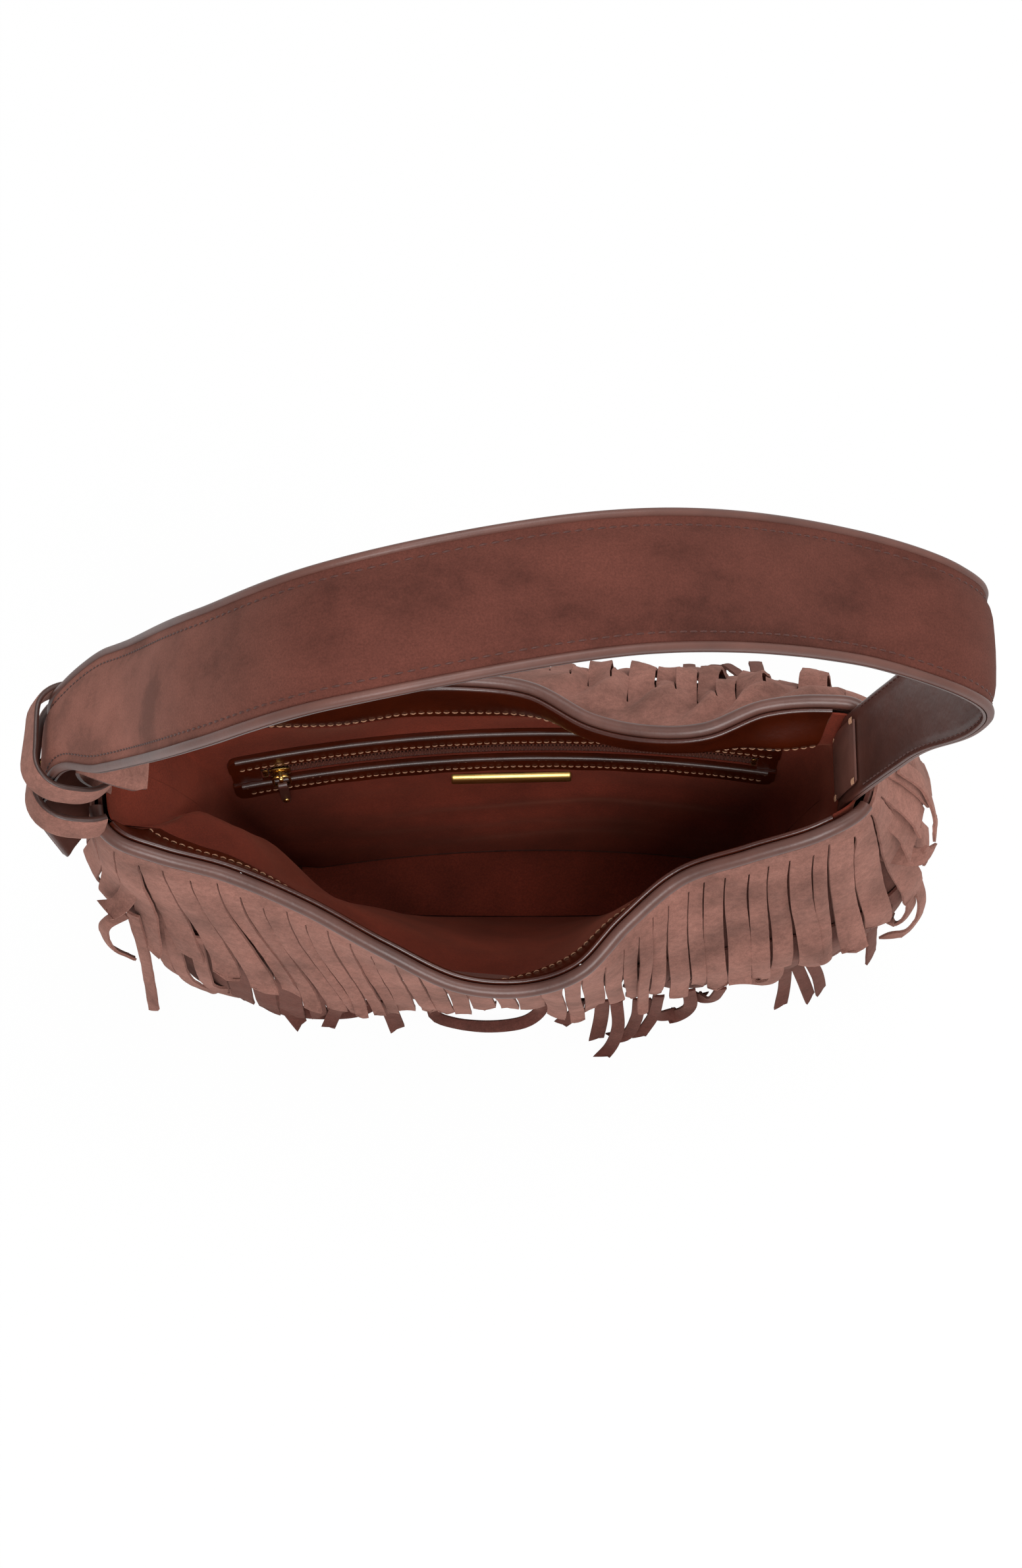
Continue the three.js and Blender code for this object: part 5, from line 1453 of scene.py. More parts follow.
class BAG_OT_zip_pull(bpy.types.Operator):
    """Zip slider, its wire ring, leather pull and gold bead"""
    bl_idname = "bag.zip_pull"
    bl_label = "Zip pull"

    def execute(self, context):
        settle(slider(), "slider_body", ["gold"], "gold_metal", "zip_slider", body="slider")
        settle(pull_ring(), "pull_wire_ring", ["gold"], "gold_metal", "zip_pull_ring", body="pull")
        settle(pull_tab(), "pull_leather", ["strap_inside"], "suede_dark", "zip_pull_tab", body="pull")
        origin, along, up, off = slider_axes()
        drop = RING_SIZE[1] - RING_WIRE + TAB_LENGTH - 2.4 * MM
        place = origin - up * drop + off * (RING_LIFT + 1.08 * MM)
        settle(
            bead(place, off, along, 1.5 * MM, 0.95 * MM),
            "pull_bead", ["gold"], "gold_metal", "zip_pull_rivet", body="pull")
        return {"FINISHED"}


# Metal bar


# Bar's section from its lower edge to its upper edge: share of half its height, share of its thickness
BAR_PROFILE = [
    (-1, 0), (-1, 0.55), (-0.9, 0.82), (-0.6, 1), (-0.2, 1), (0.2, 0.95), (0.55, 0.8), (0.8, 0.55),
    (0.95, 0.25), (1, 0)]
# Bar's ends: place along half its length, share of its section
BAR_ENDS = (
    (-1, 0.7), (-0.994, 0.88), (-0.98, 0.97), (-0.96, 1), (0.96, 1), (0.98, 0.97), (0.994, 0.88), (1, 0.7))
BAR_HEIGHT = 5.6 * MM
BAR_THICKNESS = 2.5 * MM


def metal_bar(length):
    """Bare bar, flat below and rounded off towards its top."""
    low, high = (Vector(corner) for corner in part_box("metal_bar"))
    along, up, off = wall_axes(wall_angle(0))
    centre = np.array((low + high) / 2) - off * 0.9 * MM + up * 4.2 * MM
    sections = []
    for share, size in BAR_ENDS:
        spot = centre + along * length / 2 * share
        sections.append([
            spot + up * x * BAR_HEIGHT / 2 * size + off * y * BAR_THICKNESS * size for x, y in BAR_PROFILE])
    return Shell().bar(sections)


class BAG_OT_metal_bar(bpy.types.Operator):
    """Bare gold bar under the zip"""
    bl_idname = "bag.metal_bar"
    bl_label = "Metal bar"

    def execute(self, context):
        settle(
            metal_bar(context.scene.bag_sizes.bar_length),
            "gold_bar", ["bar_gold"], "gold_metal", "metal_bar", sharp=35)
        return {"FINISHED"}


# Strap


def strap_line():
    points = [
        (TAIL_X + 7 * MM, -15 * MM, MOUTH_HEIGHT - STRAP_TAIL_DROP),
        (TAIL_X + 3 * MM, -10 * MM, MOUTH_HEIGHT - STRAP_TAIL_DROP / 3),
        (TAIL_X, -3.5 * MM, MOUTH_HEIGHT + 8 * MM),
        (TAIL_X + 3.5 * MM, 0, MOUTH_HEIGHT + 25 * MM),
    ]
    for along, lean, rise in STRAP_ARCH:
        points.append((MOUTH_SHIFT + along * MOUTH_LENGTH / 2, lean * MM, MOUTH_HEIGHT + rise * STRAP_RISE))
    points += [
        (ANCHOR_X + 3.5 * MM, 0, MOUTH_HEIGHT + 12 * MM), (ANCHOR_X, 0, MOUTH_HEIGHT - 8 * MM),
        (ANCHOR_X - 1 * MM, 0, MOUTH_HEIGHT - 21 * MM)]
    return Line(points)


STRAP = strap_line()


def strap_at(distance):
    share = min(max(distance / STRAP.length, 0.0), 1.0)
    middle = STRAP.at(share)
    along = STRAP.tangent(share)
    across = np.array([0.0, 1.0, 0.0]) - along * along[1]
    across /= np.linalg.norm(across)
    out = np.cross(along, across)
    twist = TAIL_TWIST * (1 - smooth(28 * MM, 62 * MM, distance))
    cosine, sine = math.cos(twist), math.sin(twist)
    across, out = across * cosine - out * sine, out * cosine + across * sine
    near_end = min(distance, STRAP.length - distance)
    width = bpy.context.scene.bag_sizes.strap_width
    width = STRAP_END_WIDTH + (width - STRAP_END_WIDTH) * smooth(*STRAP_TAPER, near_end)
    return middle, along, across, out, width / 2


LINING_BACK = -STRAP_THICKNESS / 2
LINING_FRONT = LINING_BACK + STRAP_LINING
SKIN_BOTTOM = LINING_FRONT + SEAM
SKIN_TOP = SKIN_BOTTOM + STRAP_EDGE

# Strap's outer profile from an edge to the middle: share of the half width, distance in, height
STRAP_BEAD = 1.55
STITCH_INSET = 5.7
MARGIN_HEIGHT = 1.75
STRAP_PROFILE = [
    (1, STRAP_BEAD * (1 - math.cos(math.radians(angle))), 1.0 + STRAP_BEAD * math.sin(math.radians(angle)))
    for angle in (-30, 0, 30, 60, 90, 120)
] + [
    (1, 2.75, 1.55), (1, 3.3, 1.75), (1, 5.0, 1.9), (1, STITCH_INSET, MARGIN_HEIGHT),
    (1, 6.6, 2.3), (1, 8.2, 3.0),
    (0.5, 0, 3.6), (0.25, 0, 3.9), (0, 0, 4.0),
]
PAINTED_POINTS = 6


def strap_skin():
    """Padded suede: stitched flat margins, then a crown over the padding."""
    profile = list(STRAP_PROFILE)
    profile += [(-side, inset, height) for side, inset, height in reversed(STRAP_PROFILE[:-1])]
    sections = []
    steps = 320
    for k in range(steps + 1):
        distance = STRAP.length * k / steps
        middle, _, across, out, half = strap_at(distance)
        section = []
        flat = smooth(0, 40 * MM, min(distance, STRAP.length - distance))
        for side, inset, height in profile:
            crown = height
            if inset > STITCH_INSET or abs(side) != 1:
                crown = MARGIN_HEIGHT + (height - MARGIN_HEIGHT) * (0.25 + 0.75 * flat)
            place = middle + across * math.copysign(max(abs(side) * half - inset * MM, 0), side)
            swell = 0.35 * MM * rumple(place, 0.022, 31) * smooth(1.9, 3.5, height)
            place = place + out * (SKIN_BOTTOM + crown * MM + swell)
            section.append(place)
        section.append(middle - across * half + out * SKIN_BOTTOM)
        section.append(middle + out * SKIN_BOTTOM)
        section.append(middle + across * half + out * SKIN_BOTTOM)
        sections.append(section)
    count = len(sections[0])
    last = len(profile) - 1
    painted = set(range(PAINTED_POINTS)) | set(range(last - PAINTED_POINTS, last + 1)) | {count - 1}
    picks = [1 if m in painted else 0 for m in range(count)]
    return Shell().bar(sections, picks=picks)


def strap_inside():
    """Leather lining of the strap, with raised stitched edges."""
    half_profile = [
        (1, 0, 0.0), (1, 0.25, 0.35), (1, 1.0, 0.5), (1, 2.2, 0.42), (1, 3.4, 0.12), (1, 5, 0.0),
        (0.3, 0, 0.0)]
    profile = half_profile + [(-side, inset, rise) for side, inset, rise in reversed(half_profile)]
    sections = []
    steps = 260
    for k in range(steps + 1):
        distance = STRAP.length * k / steps
        middle, _, across, out, half = strap_at(distance)
        section = []
        for side, inset, rise in profile:
            place = middle + across * math.copysign(max(abs(side) * half - inset * MM, 0), side)
            wave = 0.15 * MM * rumple(place, 0.012, 41)
            section.append(place + out * (LINING_BACK + 0.25 * MM - rise * MM * 0.8 + wave * (rise == 0)))
        section.append(middle - across * half + out * (LINING_FRONT - 0.1 * MM))
        section.append(middle + across * half + out * (LINING_FRONT - 0.1 * MM))
        sections.append(section)
    return Shell().bar(sections)


def strap_stitches(inset, height, from_end, inside=False):
    shell = Shell()
    pitch = bpy.context.scene.bag_sizes.stitch_length * 1.1
    for side in (1, -1):
        places, outs = [], []
        for distance in np.arange(from_end, STRAP.length - from_end, 3 * MM):
            middle, _, across, out, half = strap_at(distance)
            places.append(middle + across * side * (half - inset) + out * height)
            outs.append(-out if inside else out)
        stitches(shell, np.array(places), np.array(outs), pitch, 0.3 * MM)
    return shell


def anchor_patch():
    """Leather patch that is bar-tacked over the strap's end inside the mouth."""
    columns, rows = 20, 20
    outer, inner = np.zeros((2, columns + 1, rows + 1, 3))
    for j in range(rows + 1):
        middle, _, across, out, _ = strap_at(STRAP.length - PATCH_LENGTH * (1 - j / rows))
        for i in range(columns + 1):
            side = 2 * i / columns - 1
            round_off = 1 - 0.06 * bump(0, 0.08, j / rows) - 0.06 * bump(1, 0.08, j / rows)
            puff = 1.1 * MM * (1 - side ** 4) * (1 - (2 * j / rows - 1) ** 4)
            place = middle + across * side * PATCH_HALF * round_off
            near = LINING_BACK - SEAM
            inner[i, j] = place + out * near
            outer[i, j] = place + out * (near - 0.8 * MM - puff)
    return Shell().sheet(outer, inner)


def bar_tacks():
    """Close tacks of light thread at the patch's corners."""
    shell = Shell()
    for from_end, side in ((28, 0.93), (28, -0.93), (3, 0.93), (3, -0.93)):
        middle, along, across, out, _ = strap_at(STRAP.length - from_end * MM)
        corner = middle + across * side * PATCH_HALF + out * (LINING_BACK - SEAM - 1.0 * MM)
        for k in range(7):
            start = corner + along * (k - 3) * 0.45 * MM
            line = np.array([start - across * 1.3 * MM, start + across * 1.3 * MM])
            stitches(shell, line, np.array([-out, -out]), 2.6 * MM, 0.22 * MM, gap=0.02)
    return shell


class BAG_OT_strap(bpy.types.Operator):
    """Padded shoulder strap with its leather lining, stitches and end patch"""
    bl_idname = "bag.strap"
    bl_label = "Strap"

    def execute(self, context):
        skin = settle(
            strap_skin(),
            "strap_suede", ["strap_suede", "painted"], "suede", "strap_outer", "strap_core", sharp=60)
        settle(
            strap_inside(),
            "strap_inside_leather", ["strap_inside"], "edge_leather", "strap_lining", sharp=60)
        settle(
            strap_stitches(STITCH_INSET * MM, SKIN_BOTTOM + 1.65 * MM, 12 * MM),
            "strap_stitches", ["dark_thread"], "suede")
        settle(
            strap_stitches(1.6 * MM, LINING_BACK - 0.12 * MM, 34 * MM, inside=True),
            "strap_inside_stitches", ["dark_thread"], "edge_leather")
        settle(anchor_patch(), "strap_end_patch", ["edge"], "edge_leather", "strap_anchor")
        settle(bar_tacks(), "strap_end_tacks", ["thread"], "edge_leather")
        return {"FINISHED"}


# Knot at the left end


def end_tab():
    fold = UPPER_KEEPER_TOP + KEEPER_THICKNESS + SEAM * 2
    reach = LEFT_END + 24 * MM
    path = Line([
        (TAB_X, TAB_Y, MOUTH_HEIGHT - 20 * MM), (TAB_X, TAB_Y, MOUTH_HEIGHT - 5 * MM),
        (TAB_X + (TAB_UP_X - TAB_X) * 0.6, TAB_Y, MOUTH_HEIGHT + 4 * MM),
        (TAB_UP_X, TAB_Y, UPPER_KEEPER_BOTTOM - 1 * MM), (TAB_UP_X, TAB_Y, UPPER_KEEPER_TOP),
        (TAB_UP_X + 1.5 * MM, TAB_Y - 1 * MM, fold + 1 * MM),
        (TAB_UP_X + 6 * MM, TAB_Y - 3 * MM, fold + 2.4 * MM),
        (TAB_UP_X + (reach - TAB_UP_X) * 0.6, TAB_Y - 5.5 * MM, fold),
        (reach, TAB_Y - 6.5 * MM, fold - 7 * MM)])
    columns, rows = 18, 70
    outer, inner = np.zeros((2, columns + 1, rows + 1, 3))
    for j in range(rows + 1):
        share = j / rows
        middle, along = path.at(share), path.tangent(share)
        out = np.array([-along[2], 0, along[0]])
        half = TAB_HALF * (1 - 0.12 * smooth(0.93, 1, share))
        for i in range(columns + 1):
            side = 2 * i / columns - 1
            cup = 0.8 * MM * side ** 2 * smooth(0.55, 0.9, share)
            wave = 0.3 * MM * rumple(middle + np.array([0, side * half, 0]), 0.012, 51)
            place = middle + np.array([0, side * half, 0]) - out * (cup + wave)
            outer[i, j] = place + out * TAB_THICKNESS / 2
            inner[i, j] = place - out * TAB_THICKNESS / 2
    return Shell().sheet(outer, inner, edge_pick=1)


def keeper(middles, closed, sizes, seed):
    """A suede band with dark rims. Tilt turns its upper rim to the right, and lean turns it to the back."""
    tilt, lean, height, thickness = sizes[6:]
    axis = np.array([math.sin(tilt), math.sin(lean), math.cos(tilt)])
    axis /= np.linalg.norm(axis)
    sections = []
    last = len(middles) - 1
    for k, middle in enumerate(middles):
        before = middles[(k + last) % len(middles)] if closed else middles[max(k - 1, 0)]
        after = middles[(k + 1) % len(middles)] if closed else middles[min(k + 1, last)]
        run = (after - before) / np.linalg.norm(after - before)
        normal = np.cross(run, axis)
        normal /= np.linalg.norm(normal)
        bow = 0.6 * MM * rumple(middle, 0.02, seed)
        section = []
        for angle in turns(20):
            across = math.copysign(abs(math.cos(angle)) ** 0.5, math.cos(angle)) * thickness / 2
            rise = math.copysign(abs(math.sin(angle)) ** 0.35, math.sin(angle))
            section.append(middle + normal * (across + bow * rise) + axis * rise * height / 2)
        sections.append(section)
    picks = [1 if m in RIM_POINTS else 0 for m in range(20)]
    return Shell().bar(sections, closed=closed, picks=picks)


RIM_POINTS = (3, 4, 5, 6, 13, 14, 15, 16)
# Keepers: middle (x, y, z), width, depth, corner, tilt, lean, height, thickness
UPPER_KEEPER = (
    -166 * MM, 0.2 * MM, 197 * MM, 29.5 * MM, 43 * MM, 12.5 * MM,
    math.radians(29), math.radians(9), 13 * MM, 2.6 * MM)
LOWER_KEEPER = (
    -166 * MM, -3 * MM, 177 * MM, 34.5 * MM, 54 * MM, 15 * MM,
    math.radians(20), math.radians(16), 13 * MM, 3.2 * MM)


def keeper_outline(sizes, count):
    middle_x, middle_y, middle_z, width, depth, corner, tilt, lean = sizes[:8]
    outline = rounded_outline(width, depth, corner, count)
    return np.array([
        (middle_x + x, middle_y + y, middle_z - x * math.tan(tilt) - y * math.tan(lean)) for x, y in outline])


def upper_keeper():
    return keeper(keeper_outline(UPPER_KEEPER, 96), True, UPPER_KEEPER, 61)


def lower_keeper():
    """Its two ends stop on the bag's end panels."""
    outline = keeper_outline(LOWER_KEEPER, 180)
    places = outline[outline[:, 0] < LEFT_END + 5 * MM]
    start = int(np.argmax(np.linalg.norm(np.diff(np.vstack([places, places[:1]]), axis=0), axis=1))) + 1
    places = np.roll(places, -start, axis=0)
    return keeper(places, False, LOWER_KEEPER, 71)


def stud():
    middle, _, across, out, _ = strap_at(STUD_DISTANCE)
    rings = [
        (0.4 * MM, LINING_BACK - 1.5 * MM), (2.8 * MM, LINING_BACK - 1.4 * MM),
        (2.8 * MM, LINING_BACK - 0.3 * MM),
        (1.3 * MM, LINING_BACK - 0.3 * MM), (1.3 * MM, SKIN_TOP + 0.3 * MM), (3.9 * MM, SKIN_TOP + 0.35 * MM),
        (4.0 * MM, SKIN_TOP + 0.7 * MM), (3.5 * MM, SKIN_TOP + 1.3 * MM), (2.3 * MM, SKIN_TOP + 1.8 * MM),
        (0.4 * MM, SKIN_TOP + 2.05 * MM)]
    down = np.cross(across, out)
    return Shell().bar([
        round_points(middle + out * height, radius * across, radius * down, 24) for radius, height in rings])


class BAG_OT_knot(bpy.types.Operator):
    """Folded end tab, the two keepers and the stud at the left end"""
    bl_idname = "bag.knot"
    bl_label = "Knot"

    def execute(self, context):
        settle(end_tab(), "end_tab_suede", ["suede", "painted"], "suede", "end_tab")
        for name, shell in (("upper", upper_keeper()), ("lower", lower_keeper())):
            settle(shell, f"keeper_{name}_suede", ["suede", "rim"], "suede", f"keeper_{name}", sharp=60)
        settle(stud(), "strap_stud_gold", ["gold"], "gold_metal", "strap_stud")
        return {"FINISHED"}


# Fringe


# How far out strands swing where they hang, in radians, by their place along the front in mm
FRONT_HANG = [
    (-160, 0.04), (-130, 0.26), (-95, 0.31), (-60, 0.14), (-25, 0.05), (5, -0.04), (30, -0.02), (60, 0.02),
    (170, 0.02)]
# How far strands run to the right while they fall, both in mm
FRONT_RUN = [
    (-160, -4), (-135, 10), (-120, 17), (-90, 18), (-56, 7), (0, 3), (60, 4), (100, 9), (128, 13), (141, 16)]
BACK_RUN = [(-160, -6), (-100, -8), (0, 2), (40, 9), (90, 14), (120, 16), (141, 18)]
STEERED_TO = (126 * MM, 146 * MM)


def by_place(table, x):
    return float(np.interp(x / MM, [row[0] for row in table], [row[1] for row in table]))


class Tier:
    """One tier of fringe: where its header hangs, and how its strands fall."""

    rows = 30
    across = 4
    header_rows = 6

    def __init__(self, name, side, upper, sizes):
        self.name = name
        self.side = side
        self.upper = upper
        self.length = sizes.upper_length if upper else sizes.lower_length
        self.width = sizes.strand_width
        self.slit = sizes.strand_slit
        self.seed = {"front_upper": 0, "front_lower": 1, "back_upper": 2, "back_lower": 3}[name] * 200
        run = MOUTH[side].length * (1 - 2 * FRINGE_INSET)
        self.count = round(run / (self.width + self.slit))
        widths = np.array([
            1.12 - 0.2 * k / self.count + 0.16 * scatter(k + self.seed, 1) for k in range(self.count)])
        cuts = np.concatenate([[0.0], np.cumsum(widths)]) / widths.sum()
        self.cuts = FRINGE_INSET + (1 - 2 * FRINGE_INSET) * cuts

    def top(self, share):
        if self.upper:
            return MOUTH[self.side].at(share)[2] - RIM_DROP - 0.4 * MM
        return LOWER_TIER_TOP

    def header(self, cut):
        """Depth of the header at the top of a cut."""
        if not self.upper:
            return (9 + 2 * scatter(cut + self.seed, 7)) * MM
        if self.side == BACK:
            return (21 + 8 * scatter(cut + self.seed, 7)) * MM
        return (6 + 3 * scatter(cut + self.seed, 7)) * MM

    def gather(self, share, below):
        """Folds of the back fringe, which run down to the right where the rim bows in."""
        if self.side == FRONT or not self.upper:
            return 0.0
        x = MOUTH[BACK].at(share)[0]
        where = smooth(0.0, 0.03, x) * (1 - smooth(0.1, 0.13, x)) * smooth(3 * MM, 16 * MM, below)
        drift = 1.6 * rumple((share * 0.4, below, 0), 0.02, 81)
        fold = math.sin(105 * share - 95 * below + drift)
        return where * (1 - smooth(50 * MM, 80 * MM, below)) * (2.8 * MM + 3.4 * MM * fold)

    def lift(self, share, height):
        """How far the header stands off the body."""
        below = self.top(share) - height
        if not self.upper:
            return 0.6 * MM + 0.8 * MM * smooth(0, 20 * MM, below)
        lift = 0.9 * MM + 1.2 * MM * smooth(0, 16 * MM, below) + self.gather(share, below)
        ripple = rumple((share * 0.55, below * 0.5, 0), 0.011, 83)
        return lift + 0.7 * MM * ripple * smooth(0, 9 * MM, below)

    def clearance(self, height):
        if not self.upper:
            return 1.5 * MM
        return 1.9 * MM + 2.9 * MM * (1 - smooth(88 * MM, 112 * MM, height))

    def fall(self, cut):
        """The line down which two strands part, from the header to the hem."""
        share = float(self.cuts[cut])
        body, key = BODY[self.side], cut + self.seed
        height = self.top(share) - self.header(cut)
        place = body.at(share, height, self.lift(share, height))
        slope = body.at(share, height - 2 * MM) - body.at(share, height)
        place, out = OUTLINE.push(place, 0.5 * MM)
        theta = math.atan2(float(slope @ out), 2 * MM)
        x = place[0]
        hang, run = 0.02, 0.0
        if self.side == FRONT:
            hang = by_place(FRONT_HANG, x)
            run = by_place(FRONT_RUN, x) * MM
        elif self.upper:
            run = by_place(BACK_RUN, x) * MM
        steer = 1 - smooth(*STEERED_TO, abs(x + 5 * MM))
        length = self.length - self.header(cut)
        if self.side == FRONT and self.upper:
            length *= 1 + 0.1 * bump(-95 * MM, 45 * MM, x)
        if not self.upper:
            hang, run = hang - 0.13, 2 * MM * scatter(key, 5)
        step = length / self.rows
        places, outs = [place], [out]
        for k in range(self.rows):
            t = (k + 1) / self.rows
            theta += (hang - theta) * 0.15
            there = place + out * step * math.sin(theta)
            there[2] = max(place[2] - step * math.cos(theta), FLOOR_LEVEL)
            clear = self.clearance(there[2])
            there, out = OUTLINE.push(there, clear)
            there[0] += (x + run * smooth(0, 1, t) - there[0]) * steer
            there, out = OUTLINE.push(there, clear)
            places.append(there)
            outs.append(out)
            place = there
        return np.array(places), np.array(outs)


def strand_rows(tier, strand, left, right):
    """Middle, sideways half and way out of a strand at each row below its header."""
    key = strand + tier.seed
    stray = scatter(key, 12) > 0.74
    lift = (0.5 + 0.8 * scatter(key, 4) + 1.6 * stray) * MM
    sway = (1.3 + 3.0 * stray) * scatter(key, 5) * MM
    twist = (0.16 + 0.5 * stray) * scatter(key, 11)
    curl = 4.5 * MM * scatter(key, 3)
    keep = 1 - (0.5 + 0.5 * scatter(key, 2)) * 0.08
    if not tier.upper:
        lift, sway = 0.5 * MM * scatter(key, 4), 1 * MM * scatter(key, 5)
        twist, curl = 0.12 * scatter(key, 11), 0.0
        keep = 0.9 - 0.12 * (0.5 + 0.5 * scatter(key, 2))
    middles, halves, ways = [], [], []
    rows = tier.rows
    for k in range(rows + 1):
        t = k / rows
        at = k * keep
        low = min(int(at), rows - 1)
        part = at - low
        a = left[0][low] * (1 - part) + left[0][low + 1] * part
        b = right[0][low] * (1 - part) + right[0][low + 1] * part
        out = left[1][low] + right[1][low]
        out /= max(np.linalg.norm(out), 1e-9)
        span = b - a
        width = np.linalg.norm(span)
        side = span / max(width, 1e-9)
        half = min(width - tier.slit * (1 + 0.4 * t), tier.width * 1.5) / 2
        move = lift * smooth(0, 0.3, t) + curl * smooth(0.72, 1.0, t) ** 2
        move = max(move, -0.8 * MM)
        middle = (a + b) / 2 + out * move + side * sway * smooth(0.12, 1, t)
        middle = middle + side * 0.7 * MM * math.sin(7 * t + 5 * scatter(key, 8)) * t
        middles.append(middle)
        halves.append(side * half)
        ways.append(out)
    return np.array(middles), np.array(halves), np.array(ways), twist


def fringe(tier):
    """The whole tier as one piece: a header along the body with strands cut below it."""
    across, header_rows, rows = tier.across, tier.header_rows, tier.rows
    columns = tier.count * (across + 1) - 1
    outer, inner = np.zeros((2, columns + 1, header_rows + rows + 1, 3))
    body = BODY[tier.side]
    kept = np.ones((columns, header_rows + rows), dtype=bool)
    falls = [tier.fall(cut) for cut in range(tier.count + 1)]
    slit = tier.slit / MOUTH[tier.side].length / 2
    for strand in range(tier.count):
        key = strand + tier.seed
        first, last = tier.cuts[strand] + slit, tier.cuts[strand + 1] - slit
        depths = (tier.header(strand), tier.header(strand + 1))
        middles, halves, ways, twist = strand_rows(tier, strand, falls[strand], falls[strand + 1])
        slant = 0.7 * scatter(key, 13)
        point = 1.6 * max(scatter(key, 15), 0) ** 2
        for c in range(across + 1):
            i = strand * (across + 1) + c
            part = c / across
            share = first + (last - first) * part
            depth = depths[0] + (depths[1] - depths[0]) * part
            top = tier.top(share)
            for j in range(header_rows + 1):
                height = top - depth * j / header_rows
                lift = tier.lift(share, height)
                inner[i, j] = body.at(share, height, lift)
                outer[i, j] = body.at(share, height, lift + FRINGE_THICKNESS)
            seam, seam_inner = outer[i, header_rows].copy(), inner[i, header_rows].copy()
            for k in range(1, rows + 1):
                t = k / rows
                run = middles[min(k + 1, rows)] - middles[k - 1]
                run /= np.linalg.norm(run)
                half = halves[k] - run * float(halves[k] @ run)
                width = np.linalg.norm(half)
                side = half / width
                off = np.cross(side, run)
                if float(off @ ways[k]) + 0.8 * off[2] < 0:
                    off = -off
                angle = twist * smooth(0.15, 0.95, t)
                a = side * math.cos(angle) + off * math.sin(angle)
                n = off * math.cos(angle) - side * math.sin(angle)
                edge = 2 * part - 1
                cup = 0.5 * MM * (1 - edge ** 2) * smooth(0, 0.3, t)
                cup *= 1 if scatter(key, 14) > -0.5 else -0.8
                place = middles[k] + a * edge * width + n * cup
                place = place + n * 0.35 * MM * rumple(place, 0.008, 91)
                place = place + ways[k] * tier.gather(float(tier.cuts[strand]), depth + t * tier.length)
                back_off = smooth(rows - 2.5, rows, k)
                place = place - run * tier.width * back_off * (0.5 + slant * edge / 2 + point * abs(edge))
                away = place + n * FRINGE_THICKNESS
                blend = smooth(0, 5, k)
                shift = middles[k] - middles[0]
                place = (seam_inner + shift) * (1 - blend) + place * blend
                away = (seam + shift) * (1 - blend) + away * blend
                low = min(place[2], away[2])
                if low < STRAND_FLOOR:
                    place = place + np.array([0, 0, STRAND_FLOOR - low])
                    away = away + np.array([0, 0, STRAND_FLOOR - low])
                inner[i, header_rows + k] = place
                outer[i, header_rows + k] = away
        if strand < tier.count - 1:
            kept[strand * (across + 1) + across, header_rows:] = False
    return Shell().sheet(outer, inner, kept, edge_pick=1)


